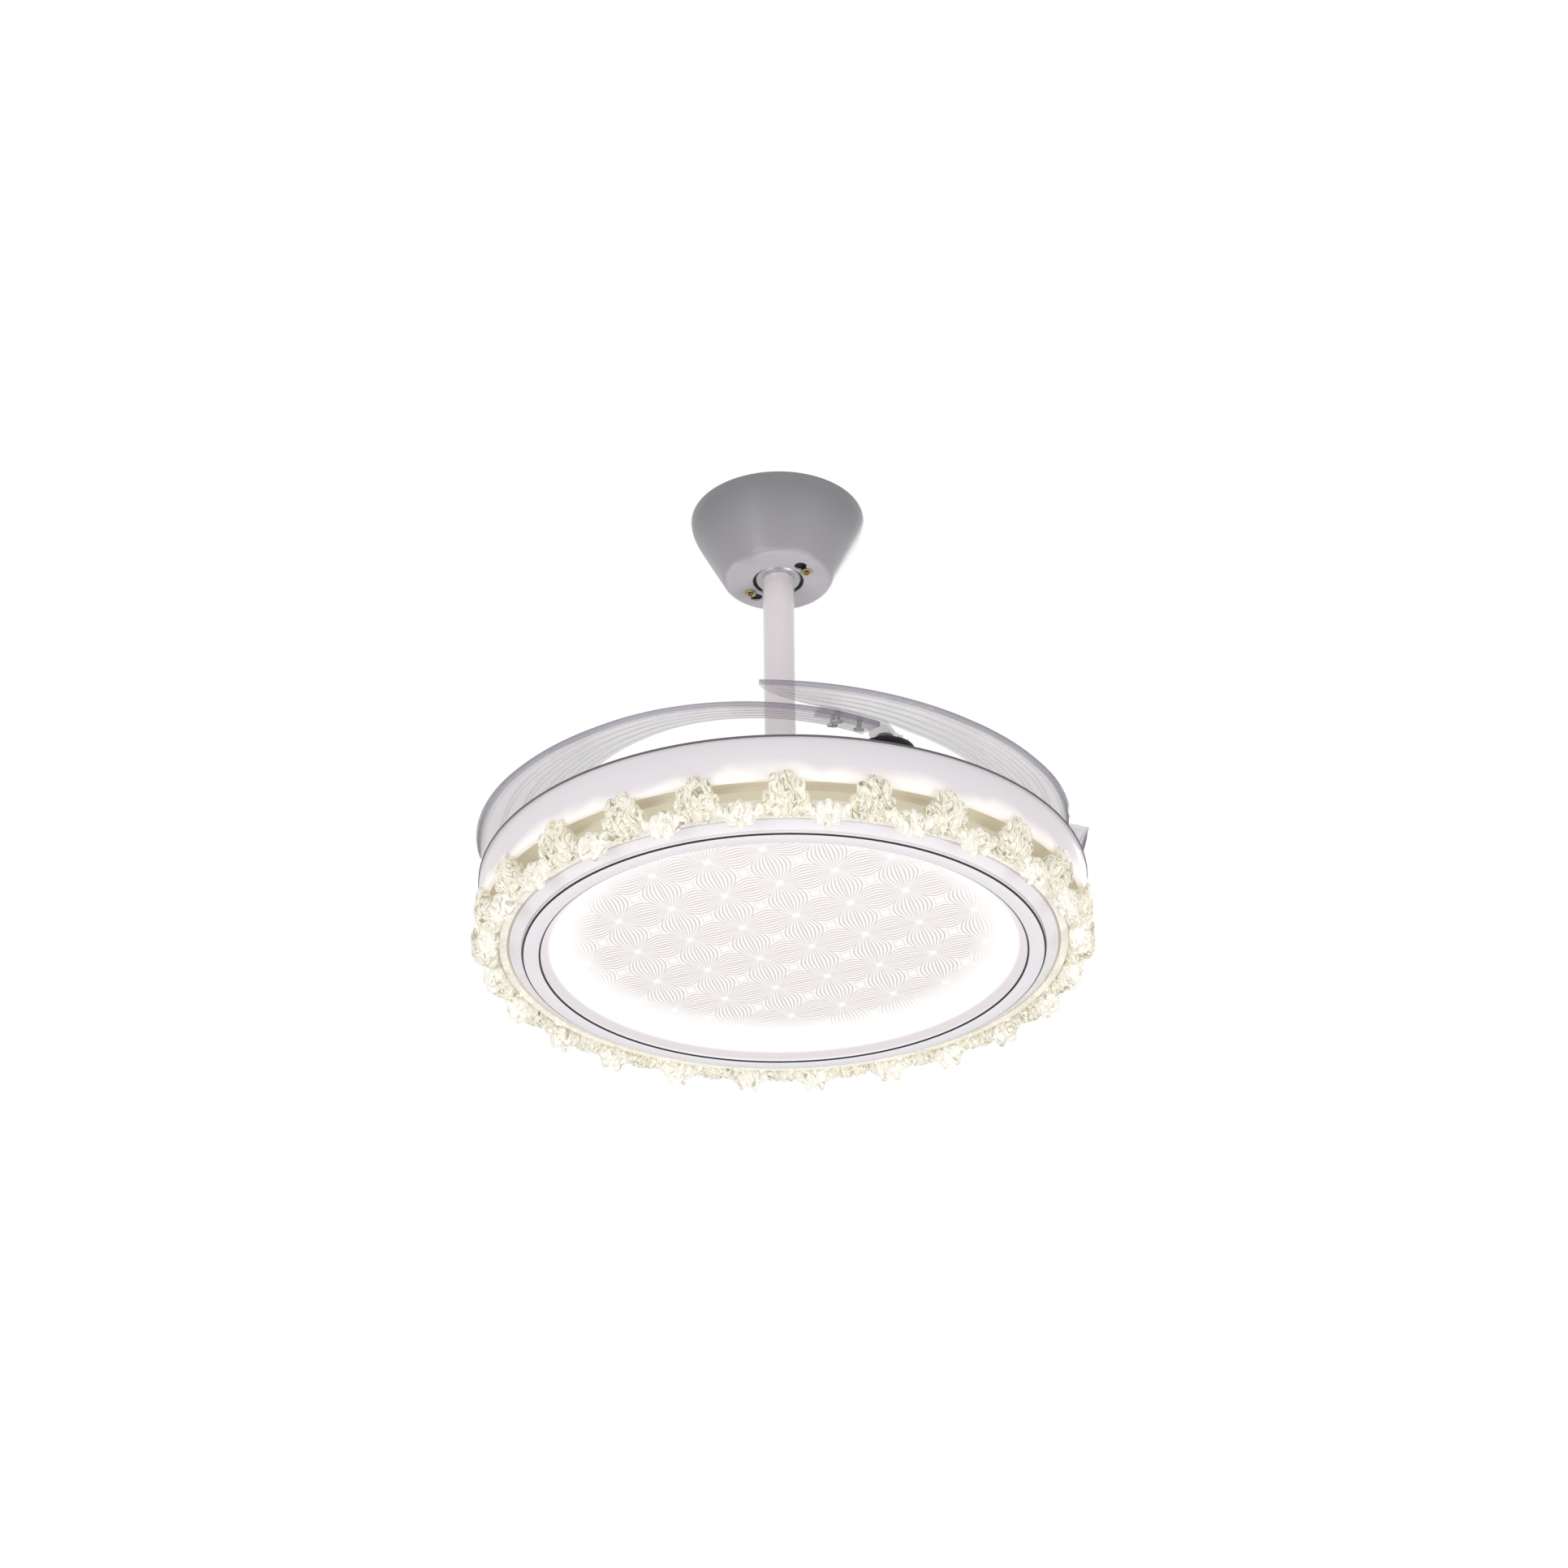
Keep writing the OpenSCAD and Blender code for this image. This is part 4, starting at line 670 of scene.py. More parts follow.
class BladeSizes(bpy.types.PropertyGroup):
    """Sizes and colours of a blade. Its places run from 0 at the pivot to 1 at the tip"""
    sweep: FloatProperty(
        name="Sweep", description="Angle that a folded blade covers", default=math.radians(118), **ANGLE)
    root_edge: FloatProperty(
        name="Root edge", description="Radius of the outer edge at the root", default=204 * MM, **LENGTH)
    belly_edge: FloatProperty(
        name="Belly edge", description="Radius of the outer edge at the belly", default=242 * MM, **LENGTH)
    tip_edge: FloatProperty(
        name="Tip edge", description="Radius of the outer edge at the tip", default=250 * MM, **LENGTH)
    belly_at: FloatProperty(
        name="Belly place", description="Place of the belly along the blade", default=0.53)
    root_width: FloatProperty(
        name="Root width", description="Width at the root", default=36 * MM, **LENGTH)
    full_width: FloatProperty(name="Full width", description="Greatest width", default=75 * MM, **LENGTH)
    full_at: FloatProperty(
        name="Full width place", description="Place where the blade reaches it", default=0.7)
    tip_sweep: FloatProperty(
        name="Tip sweep", description="Further angle that the tip's point reaches",
        default=math.radians(3.6), **ANGLE)
    pitch: FloatProperty(
        name="Pitch", description="Pitch of a blade", default=math.radians(21), **ANGLE)
    thickness: FloatProperty(
        name="Thickness", description="Thickness of the sheet", default=3.5 * MM, **LENGTH)
    root_rise: FloatProperty(
        name="Root rise", description="Height of the centre line over the carrier",
        default=2.5 * MM, **LENGTH)
    tip_rise: FloatProperty(
        name="Tip rise", description="Further rise of the centre line to the tip",
        default=13 * MM, **LENGTH)
    ribs: IntProperty(name="Ribs", description="Number of stiffening ribs", default=5, min=3, max=8)
    rib_height: FloatProperty(
        name="Rib height", description="Height of a rib", default=0.8 * MM, **LENGTH)
    tint: FloatVectorProperty(
        name="Tint", description="Colour of the sheet", default=linear("#d6cfd1"), **COLOUR)
    rib_tint: FloatVectorProperty(
        name="Rib tint", description="Colour along the ribs and the outer edge",
        default=linear("#7f7788"), **COLOUR)


class CrystalSizes(bpy.types.PropertyGroup):
    """Sizes of the crystal ring"""
    count: IntProperty(name="Count", description="Number of large crystals", default=24, min=12, max=36)
    turn: FloatProperty(
        name="Turn", description="Turn of the first large crystal off the front",
        default=math.radians(0.7), **ANGLE)
    reach: FloatProperty(
        name="Reach", description="Outer radius of the large crystals", default=251.4 * MM, **LENGTH)
    seat: FloatProperty(
        name="Seat", description="Radius that the crystals are bonded at", default=228.4 * MM, **LENGTH)
    top: FloatProperty(
        name="Top", description="Top of the large crystals over the flange foot",
        default=30 * MM, **LENGTH)
    foot: FloatProperty(
        name="Foot", description="Depth of the small crystals under the flange foot",
        default=11 * MM, **LENGTH)
    grain: FloatProperty(
        name="Grain", description="Size of the steps that the cast lobes run together in",
        default=0.7 * MM, **LENGTH)


class DrumSizes(bpy.types.PropertyGroup):
    """Sizes and colours of the lamp drum"""
    wall: FloatProperty(
        name="Wall", description="Sheet thickness of the drum", default=1.6 * MM, **LENGTH)
    lip: FloatProperty(
        name="Lip", description="Width of the turned-in lower lip", default=4 * MM, **LENGTH)
    flange: FloatProperty(
        name="Flange", description="Width of the turned-in top flange", default=14 * MM, **LENGTH)
    enamel: FloatVectorProperty(
        name="Enamel", description="Colour of the drum's enamel", default=linear("#e9e5e6"), **COLOUR)
    enamel_shade: FloatVectorProperty(
        name="Enamel shade", description="Colour of the enamel's faint darker patches",
        default=linear("#e3dfe0"), **COLOUR)


class PanelSizes(bpy.types.PropertyGroup):
    """Sizes and colour of the flange, the trim and the diffuser"""
    trim_width: FloatProperty(
        name="Trim", description="Width of the flat trim ring", default=15 * MM, **LENGTH)
    edge: FloatProperty(
        name="Edge", description="Width of the trim's dark chamfers", default=1.5 * MM, **LENGTH)
    edge_rise: FloatProperty(
        name="Edge rise", description="Height of the trim's dark chamfers", default=0.9 * MM, **LENGTH)
    bevel: FloatProperty(
        name="Bevel", description="Height of the flange's bevel", default=4 * MM, **LENGTH)
    bevel_width: FloatProperty(
        name="Bevel width", description="Width of the flange's bevel, seen from below",
        default=7 * MM, **LENGTH)
    panel: FloatProperty(
        name="Panel", description="Height of the panel over the flange foot", default=12 * MM, **LENGTH)
    slope: FloatProperty(
        name="Slope", description="Width of the dish's sloping border", default=8 * MM, **LENGTH)
    sheet: FloatProperty(
        name="Sheet", description="Thickness of the diffuser", default=2.2 * MM, **LENGTH)
    light: FloatVectorProperty(
        name="Light", description="Colour of the lit panel between the etched rays",
        default=linear("#fffefa"), **COLOUR)


class StageSettings(bpy.types.PropertyGroup):
    """The floor and the light from all round"""
    floor_drop: FloatProperty(
        name="Floor", description="Height of the ceiling over the floor", default=2.6, **LENGTH)
    floor_colour: FloatVectorProperty(
        name="Floor colour", description="Colour of the floor", default=linear("#fbfbfa"), **COLOUR)
    floor_shade: FloatVectorProperty(
        name="Floor shade", description="Colour of the floor's faint darker patches",
        default=linear("#f3f2f1"), **COLOUR)
    ambient: FloatProperty(
        name="Ambient", description="Strength of the light from all round", default=0.72)


# ---------------------------------------------------------------- canopy and downrod

def canopy_skin(sizes, inset):
    """Points down the canopy's outside, or this far inside it: a wall, a cone and a rounded edge."""
    top, bottom = CANOPY_HIGH.z, CANOPY_LOW.z
    height = top - bottom

    def lean(down):
        return down - sizes.straight + math.hypot(down - sizes.straight, sizes.turn)

    slope = math.atan((CANOPY_R - sizes.shoulder) / (height - sizes.straight))
    turn = math.pi / 2 - slope
    edge = sizes.edge * math.tan(turn / 2)
    first, last = 0.6 * MM, height - edge * math.cos(slope)
    centre_r, centre_z = sizes.shoulder - edge, bottom + sizes.edge
    wall_steps, edge_steps = 24, 8
    points = []
    for i in range(wall_steps + 1):
        down = first + (last - first) * i / wall_steps
        share = (lean(down) - lean(0)) / (lean(height) - lean(0))
        points.append((CANOPY_R - (CANOPY_R - sizes.shoulder) * share - inset, top - down))
    for i in range(1, edge_steps + 1):
        angle = slope + turn * i / edge_steps
        reach = sizes.edge - inset
        points.append((centre_r + reach * math.cos(angle), centre_z - reach * math.sin(angle)))
    return points


def canopy_profile(sizes):
    """Outside and inside of the canopy, from the rim down to the hole and back."""
    top, bottom = CANOPY_HIGH.z, CANOPY_LOW.z
    lip = 0.5 * MM
    return ([(CANOPY_R - sizes.wall, top), (CANOPY_R - lip, top), (CANOPY_R - 0.1 * MM, top - 0.2 * MM)]
            + canopy_skin(sizes, 0)
            + [(sizes.hole + lip, bottom), (sizes.hole, bottom + lip), (sizes.hole, bottom + sizes.wall)]
            + list(reversed(canopy_skin(sizes, sizes.wall))))


def keyhole_cutters(sizes, turn):
    """A hole for the screw's shank, one for its head, and the slot between them."""
    low, high = CANOPY_LOW.z - 2 * MM, CANOPY_LOW.z + 6 * MM
    narrow, head = 2.8 * MM, 5.4 * MM
    slide = 1.7 * head
    x = sizes.screw_circle
    made = [
        cylinder("cut_shank", narrow, low, high, x, 0),
        block("cut_slot", (2 * narrow, slide, high - low), (x, -slide / 2, (low + high) / 2)),
        cylinder("cut_head", head, low, high, x, -slide),
    ]
    for cutter in made:
        cutter.data.transform(Matrix.Rotation(turn, 4, "Z"))
    return made


def pan_screw(name, head_r, shank_r, head_z, shank_top):
    """Pan-head screw, pointing up, with a cross recess."""
    height = 0.55 * head_r
    # shares of the head's radius, and of its height under the seat
    crown = [(1, 0), (1, 0.25), (0.92, 0.6), (0.68, 0.9), (0.3, 1), (0, 1)]
    screw = turned(name, [(0, shank_top), (shank_r, shank_top), (shank_r, head_z)]
                   + [(r * head_r, head_z - down * height) for r, down in crown], 32, closed=False)
    long, narrow, foot = 1.1 * head_r, 0.24 * head_r, (0, 0, head_z - height)
    cut_out(screw, block("cut_bar", (long, narrow, height), foot),
            block("cut_bar", (narrow, long, height), foot))
    return screw


class FAN_OT_canopy(bpy.types.Operator):
    """Spins the canopy, cuts its keyholes and sets its two brass screws"""
    bl_idname = "fan.canopy"
    bl_label = "Canopy"

    def execute(self, context):
        sizes = context.scene.fan_canopy
        canopy = turned("canopy_shell", canopy_profile(sizes), 160)
        sides = [sizes.screw_turn, sizes.screw_turn + math.pi]
        for side in sides:
            cut_out(canopy, *keyhole_cutters(sizes, side))
        coat(canopy, "canopy_enamel", "ceiling_mount", "canopy")
        # painted shade: the inside is drawn in a dark coat, as it lies in shade
        paint_faces(canopy, "canopy_inside_shade", lambda middle, normal: normal.z > 0.2
                    or normal.x * middle.x + normal.y * middle.y < 0 and middle.z > CANOPY_LOW.z + sizes.wall)
        screw = pan_screw("canopy_screw", sizes.screw_head, sizes.screw_head / 2, CANOPY_LOW.z - 0.3 * MM,
                          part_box("canopy_screws")[1].z)
        screw.data.transform(Matrix.Translation((sizes.screw_circle, 0, 0)))
        coat(joined("canopy_screw_pair", copies(screw, sides)), "brass", "ceiling_mount",
             "canopy_screws")
        dress({"ceiling_bracket": "black_coat", "terminal_block": "white_abs"})
        return {"FINISHED"}


class FAN_OT_downrod(bpy.types.Operator):
    """Turns the downrod, its white collar and the black cover of the coupling"""
    bl_idname = "fan.downrod"
    bl_label = "Downrod"

    def execute(self, context):
        wall, ease, fit = 2 * MM, 0.6 * MM, 0.1 * MM
        rod = turned("downrod_tube", [
            (ROD_R, ROD_LOW.z), (ROD_R, ROD_HIGH.z - ease), (ROD_R - ease, ROD_HIGH.z),
            (ROD_R - wall, ROD_HIGH.z), (ROD_R - wall, ROD_LOW.z)], ROD_STEPS)
        coat(rod, "rod_enamel", "hanger", "downrod")

        low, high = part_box("rod_collar")
        neck, steps = ROD_R + 2.2 * MM, 24
        flare = [(neck + (high.x - neck) * (1 - i / steps) ** 2.4, low.z + (high.z - low.z) * i / steps)
                 for i in range(steps)]
        collar = turned("white_collar", flare + [
            (neck - 0.2 * MM, high.z - 0.3 * MM), (neck - 0.6 * MM, high.z), (ROD_R + fit, high.z),
            (ROD_R + fit, low.z)], ROD_STEPS)
        coat(collar, "white_abs", "hanger", "rod_collar")

        low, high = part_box("yoke_cover")
        foot_r, top_r, ring_z, steps = high.x, 27 * MM, high.z - 3 * MM, 32
        bell = [(top_r + (foot_r - top_r) * (1 - i / steps) ** 1.6, low.z + (ring_z - low.z) * i / steps)
                for i in range(steps + 1)]
        cover = turned("coupling_cover", bell + [
            (top_r, high.z - 0.5 * MM), (top_r - 0.5 * MM, high.z), (ROD_R + fit, high.z),
            (ROD_R + fit, ring_z)] + [(r - wall, z) for r, z in reversed(bell)], ROD_STEPS)
        coat(cover, "black_abs", "hanger", "yoke_cover")

        dress({"hanger_ball": "ball", "ball_pin": "screw_zinc", "motor_yoke": "zinc",
               "yoke_pin": "screw_zinc", "yoke_set_screws": "screw_zinc"})
        return {"FINISHED"}


# ---------------------------------------------------------------- motor and carrier

class FAN_OT_motor(bpy.types.Operator):
    """Finishes the motor, the blade carrier and the synchronising gears"""
    bl_idname = "fan.motor"
    bl_label = "Motor and carrier"

    def execute(self, context):
        dress({
            "motor_shaft": "shaft", "shaft_nuts": "screw_zinc", "stator_core": "laminations",
            "windings": "copper", "bearing_inner_rings": "bearing", "bearing_outer_rings": "bearing",
            "bearing_balls": "bearing", "magnet_ring": "ferrite", "rotor_lower": "black_coat",
            "rotor_upper": "black_coat", "blade_carrier": "black_coat", "carrier_screws": "screw_zinc",
            "gear_cover": "black_abs", "cover_screws": "screw_zinc", "pivot_pins": "shaft",
            "pin_clips": "screw_zinc", "return_springs": "screw_zinc", "sync_ring": "nylon",
        })
        return {"FINISHED"}


# ---------------------------------------------------------------- blades

ROOT_FROM, TIP_FROM = 0.06, 0.88        # the sheet starts and begins to narrow at these places
ACROSS_RIB, SLICES = 10, 110            # faces across a rib and along a blade
RIB_HALF = 1.6 * MM                     # half of a rib's width where the blade is wide


class BladeForm:
    """The blade's surface, as functions of the place along it and the distance across it."""

    def __init__(self, sizes):
        self.sizes = sizes
        self.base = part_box("blade_carrier")[0].z + 2.5 * MM + sizes.root_rise

    def edge_radius(self, s):
        """Radius of the outer edge: it swells to the belly and goes on to the tip."""
        z = self.sizes
        swell = math.sin(math.pi / 2 * min(1, s / z.belly_at))
        tail = max(0, (s - z.belly_at) / (1 - z.belly_at))
        return z.root_edge + (z.belly_edge - z.root_edge) * swell + (z.tip_edge - z.belly_edge) * tail

    def full(self, s):
        """Width before the tip is rounded."""
        z = self.sizes
        return z.root_width + (z.full_width - z.root_width) * min(1, s / z.full_at)

    def width(self, s):
        """Width with the rounded tip, and never a knife edge."""
        t = min(1, max(0, (s - TIP_FROM) / (1 - TIP_FROM)))
        return max(3 * MM, self.full(s) * math.sqrt(1 - t * t))

    def point(self, s, x, y):
        """The point at place s, x in from the outer edge and y over the sheet's underside."""
        z = self.sizes
        angle = -z.sweep * s - z.tip_sweep * s ** 6
        radius = self.edge_radius(s) - x * math.cos(z.pitch) + y * math.sin(z.pitch)
        height = (self.base + z.tip_rise * s * s - self.full(s) / 2 * math.sin(z.pitch)
                  + x * math.sin(z.pitch) + y * math.cos(z.pitch))
        return Vector((radius * math.cos(angle), radius * math.sin(angle), height))


def make_blade(name, form, turn):
    """A grid laid along the folded blade, thickened, with ribs raised on its underside."""
    sizes = form.sizes
    clear_selection()
    bpy.ops.mesh.primitive_grid_add(x_subdivisions=sizes.ribs * ACROSS_RIB, y_subdivisions=SLICES, size=1)
    blade = name_it(name)
    mesh = blade.data
    crosswise = mesh.attributes.new("across", "FLOAT", "POINT")
    lengthwise = mesh.attributes.new("lengthwise", "FLOAT", "POINT")
    for vertex in mesh.vertices:
        share, slice_ = vertex.co.x + 0.5, vertex.co.y + 0.5
        s = ROOT_FROM + (1 - ROOT_FROM) * math.sin(math.pi / 2 * slice_)
        crosswise.data[vertex.index].value = share
        lengthwise.data[vertex.index].value = s
        vertex.co = form.point(s, share * form.width(s), 0)
    modify(blade, "SOLIDIFY", thickness=sizes.thickness, offset=1)
    apply_all(blade)
    tidy(blade, 40)
    mesh = blade.data
    across_of = [d.value for d in mesh.attributes["across"].data]
    along_of = [d.value for d in mesh.attributes["lengthwise"].data]
    for vertex in mesh.vertices:
        share, s = across_of[vertex.index], along_of[vertex.index]
        width = form.width(s)
        if (vertex.co - form.point(s, share * width, 0)).length > sizes.thickness / 2:
            continue
        rib = abs((share * sizes.ribs) % 1 - 0.5) * width / sizes.ribs
        half = min(RIB_HALF, width / sizes.ribs / 5)
        height = min(sizes.rib_height, half / 2) * max(0.0, 1 - (rib / half) ** 2)
        vertex.co = form.point(s, share * width, -height)
    modify(blade, "BEVEL", width=0.9 * MM, segments=3, limit_method="ANGLE", angle_limit=math.radians(50))
    apply_all(blade)
    tidy(blade, 45)
    blade.data.transform(Matrix.Rotation(turn, 4, "Z"))
    return blade


class FAN_OT_blades(bpy.types.Operator):
    """Forms the four ribbed acrylic blades on their holders"""
    bl_idname = "fan.blades"
    bl_label = "Blades"

    def execute(self, context):
        form = BladeForm(context.scene.fan_blades)
        for body in BLADE_KEYS:
            pivot = PIVOTS[body]
            blade = make_blade(f"{body}_sheet", form, math.atan2(pivot.y, pivot.x))
            coat(blade, "acrylic", body, body)
            number = body.split("_")[1]
            dress({f"blade_holder_{number}": "clear_abs", f"blade_screws_{number}": "zinc"})
        return {"FINISHED"}


# ---------------------------------------------------------------- lamp drum

class FAN_OT_drum(bpy.types.Operator):
    """Spins the white drum wall, and finishes the plate, the channel and the strip"""
    bl_idname = "fan.drum"
    bl_label = "Lamp drum"

    def execute(self, context):
        sizes = context.scene.fan_drum
        low, high = DRUM_LOW.z, DRUM_HIGH.z
        inside, lip, flange = DRUM_R - sizes.wall, DRUM_R - sizes.lip, DRUM_R - sizes.flange
        drum = turned("drum_wall", [
            (DRUM_R, low + 1.2 * MM), (DRUM_R, high - 0.8 * MM), (DRUM_R - 0.3 * MM, high - 0.2 * MM),
            (DRUM_R - 0.8 * MM, high), (flange, high), (flange, high - sizes.wall),
            (inside, high - sizes.wall), (inside, low + sizes.wall), (lip, low + sizes.wall), (lip, low),
            (DRUM_R - 1.2 * MM, low), (DRUM_R - 0.35 * MM, low + 0.35 * MM)], RING_STEPS)
        coat(drum, "white_enamel", "hanger", "drum_shell")
        dress({"top_plate": "lipped", "drum_screws": "screw_zinc", "led_channel": "beige",
               "led_strip": "strip"})
        return {"FINISHED"}


# ---------------------------------------------------------------- crystals

WANDER, WANDER_WAVE = math.radians(0.6), 2.4    # how far crystals stand off, and how it varies
EGG_BLUNTNESS = 0.75            # below 1, an egg's ends are blunter than a ball's
KEPT_FACES = 0.24               # share of the melted mesh's faces that are kept


def cast_lump(name, lobes, grain):
    """A cast crystal: upright lobes that run together. A lobe is its place across, its low and high end,
    its half width, and its inner and outer radius, all in millimetres, heights over the flange foot."""
    eggs = []
    for across, low, high, half, inner, outer in lobes:
        clear_selection()
        bpy.ops.mesh.primitive_ico_sphere_add(subdivisions=4, radius=1)
        egg = name_it("egg")
        for vertex in egg.data.vertices:
            vertex.co.z = math.copysign(abs(vertex.co.z) ** EGG_BLUNTNESS, vertex.co.z)
        egg.scale = ((outer - inner) / 2 * MM, half * MM, (high - low) / 2 * MM)
        egg.location = ((outer + inner) / 2 * MM, across * MM, FOOT + (high + low) / 2 * MM)
        eggs.append(settle(egg))
    lump = joined(name, eggs)
    modify(lump, "REMESH", mode="VOXEL", voxel_size=grain)
    modify(lump, "DECIMATE", ratio=KEPT_FACES)
    apply_all(lump)
    tidy(lump, 28)
    return lump


def cast_lumps(name, lobes, grain):
    """A crystal and its mirror image."""
    return [cast_lump(name, [(side * lobe[0], *lobe[1:]) for lobe in lobes], grain) for side in (1, -1)]


def spread(pair, first, step, count):
    """Copies of a crystal and its mirror image in turn round the ring, set by hand and so a little uneven."""
    turns = [first + k * step + WANDER * math.sin(WANDER_WAVE * k) for k in range(count)]
    return copies(pair[0], turns[::2]) + copies(pair[1], turns[1::2])


class FAN_OT_crystals(bpy.types.Operator):
    """Casts the large and small crystals and sets them round the ring"""
    bl_idname = "fan.crystals"
    bl_label = "Crystals"

    def execute(self, context):
        sizes = context.scene.fan_crystals
        step = math.tau / sizes.count
        front = -math.pi / 2 + sizes.turn
        seat, reach, top, foot = [value / MM for value in (sizes.seat, sizes.reach, sizes.top, sizes.foot)]
        nub = DRUM_R / MM + 0.4
        deep = (DRUM_LOW.z - FOOT) / MM - 1
        large = cast_lumps("large_crystal", [
            # three knobs in front of the drum's edge
            (1.6, 11, top, 5.6, nub, reach), (-8.2, 10, top - 2.5, 4.6, nub, reach - 0.2),
            (9.6, 10, top - 7, 5.1, nub, reach - 0.1),
            # seven ribs outside
            (-14.6, 4, deep - 7, 3.3, seat + 5, reach - 3), (-9.9, 2, deep - 1, 3.3, seat + 4, reach - 1),
            (-5, 0.5, deep, 3.4, seat + 4, reach - 0.3), (0.2, 0, deep, 3.2, seat + 4, reach),
            (5.1, 0.5, deep, 3.3, seat + 4, reach - 0.3), (9.8, 2, deep - 1.5, 3.4, seat + 4, reach - 1),
            (14.4, 4, deep - 8, 3.4, seat + 5, reach - 3),
            # and five inside, which reach lower
            (-12.4, -1, 15, 4, seat, seat + 13), (-6.4, -2.6, 17, 3.8, seat, seat + 14),
            (-0.3, -3, 18, 3.9, seat, seat + 14.5), (6, -2.2, 17, 3.7, seat, seat + 14),
            (12, -1.4, 15, 4.1, seat, seat + 13)], sizes.grain)
        ring = joined("crystals_large_cast", spread(large, front, step, sizes.count))
        coat(ring, "crystal", "hanger", "crystals_large")

        outer = DRUM_R / MM - 0.6
        small = cast_lumps("small_crystal", [
            # two feet and the ribs beside them
            (-6.2, -foot, 9.5, 4.3, seat + 4, outer - 0.6), (5.8, 0.4 - foot, 10, 4.1, seat + 4, outer - 0.3),
            (-0.2, -4.5, 11.6, 3.8, seat + 4, outer), (-10.9, -4, 6, 2.5, seat + 3, outer - 3),
            (10.7, -4, 6.5, 2.6, seat + 3, outer - 3),
            # the webs that run into the large crystals
            (-14.8, -1.5, 8, 3.2, seat + 3, outer - 2), (14.6, -1, 9, 3.3, seat + 3, outer - 1.5),
            # a finger inside, and its neighbours
            (0.3, 0.6 - foot, 9, 3.4, seat, seat + 9), (-6.6, -7, 7, 4, seat, seat + 9),
            (6.8, -6.5, 7, 3.9, seat, seat + 9)], sizes.grain)
        ring = joined("crystals_small_cast", spread(small, front + step / 2, step, sizes.count))
        coat(ring, "small_crystal", "hanger", "crystals_small")
        dress({"crystal_ring": "clear_ring"})
        return {"FINISHED"}


# ---------------------------------------------------------------- light panel

class FAN_OT_panel(bpy.types.Operator):
    """Spins the bevelled flange, the trim ring and the etched diffuser"""
    bl_idname = "fan.panel"
    bl_label = "Light panel"

    def execute(self, context):
        sizes = context.scene.fan_panel
        low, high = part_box("flange_ring")
        web, wall = TRIM_HIGH.z, 2 * MM
        outer, inner, wall_r = TRIM_R, TRIM_R - sizes.trim_width, high.x
        # the bevel starts a little over the foot, beside the trim's dark outer chamfer
        flange = turned("bevelled_flange", [
            (outer + 0.3 * MM, low.z + 0.9 * MM), (outer + 0.7 * MM, low.z + 0.5 * MM),
            (outer + sizes.bevel_width, low.z + sizes.bevel), (wall_r, low.z + sizes.bevel + 0.3 * MM),
            (wall_r, high.z), (wall_r - wall, high.z), (wall_r - wall, web + wall + sizes.bevel),
            (outer - wall, web + wall), (inner + wall, web + wall), (inner + wall, web),
            (outer + 0.3 * MM, web)], RING_STEPS)
        coat(flange, "trim_abs", "hanger", "flange_ring")

        # both edges are dark chamfers, the faces neither level nor upright: two thin lines round the panel
        edge, rise = sizes.edge, sizes.edge_rise
        trim = turned("flat_trim", [
            (inner, TRIM_LOW.z + rise), (inner + edge, TRIM_LOW.z), (outer - edge, TRIM_LOW.z),
            (outer, TRIM_LOW.z + rise), (outer, web), (inner, web)], RING_STEPS)
        coat(trim, "trim_abs", "hanger", "trim_ring")
        paint_faces(trim, "black_coat", lambda middle, normal: 0.3 < abs(normal.z) < 0.95)

        # the dish: a raised panel, a sloping border that comes down to the foot, and a rim on the flange
        lip, slope, sheet = inner - DISH_GAP, sizes.slope, sizes.sheet
        panel, rim, rim_r = FOOT + sizes.panel, web + wall + 0.1 * MM, outer - 4 * MM
        dish = turned("etched_diffuser", [
            (0, panel), (lip - slope - 4 * MM, panel), (lip - slope - 1.6 * MM, panel - 1.2 * MM),
            (lip - slope, FOOT + 5 * MM), (lip - 0.5 * slope, FOOT + 1.6 * MM), (lip - 0.6 * MM, FOOT),
            (lip, FOOT + 0.3 * MM), (lip, rim), (rim_r, rim), (rim_r, rim + sheet),
            (lip - slope + sheet, rim + sheet), (lip - slope - 1.6 * MM + sheet, panel + sheet),
            (0, panel + sheet)], RING_STEPS, closed=False)
        coat(dish, "opal", "hanger", "diffuser")
        dress({"pattern_plate": "white_abs", "led_board": "board", "leds": "chips",
               "board_posts": "zinc", "led_driver": "white_abs", "fan_controller": "white_abs"})
        return {"FINISHED"}


# ---------------------------------------------------------------- stage

FLOOR_R = 9.0
# name, place, diameter and watts of each soft lamp
LAMPS = [("Key", (-1.5, -1.9, -1.6), 1.6, 20), ("Fill", (1.7, -1.4, -1.9), 1.8, 18),
         ("Back", (0.8, 2.4, 0.6), 1.6, 12)]
CAMERA_PLACE = Vector((0.0, -2.0475, -1.453))
CAMERA_PITCH = math.radians(30.05)
CAMERA_ROLL = math.radians(-0.92)
CAMERA_YAW = math.radians(-0.06)
FOCAL_PIXELS = 3506
PHOTO_PIXELS = 1932
SENSOR = 36     # its width, in millimetres


def area_lamp(name, place, target, size, watts):
    """A round white lamp that shines at the target."""
    lamp = bpy.data.lights.new(name, "AREA")
    lamp.shape = "DISK"
    lamp.size = size
    lamp.energy = watts
    holder = bpy.data.objects.new(name, lamp)
    holder.location = place
    holder.rotation_euler = (target - Vector(place)).to_track_quat("-Z", "Y").to_euler()
    bpy.context.scene.collection.objects.link(holder)


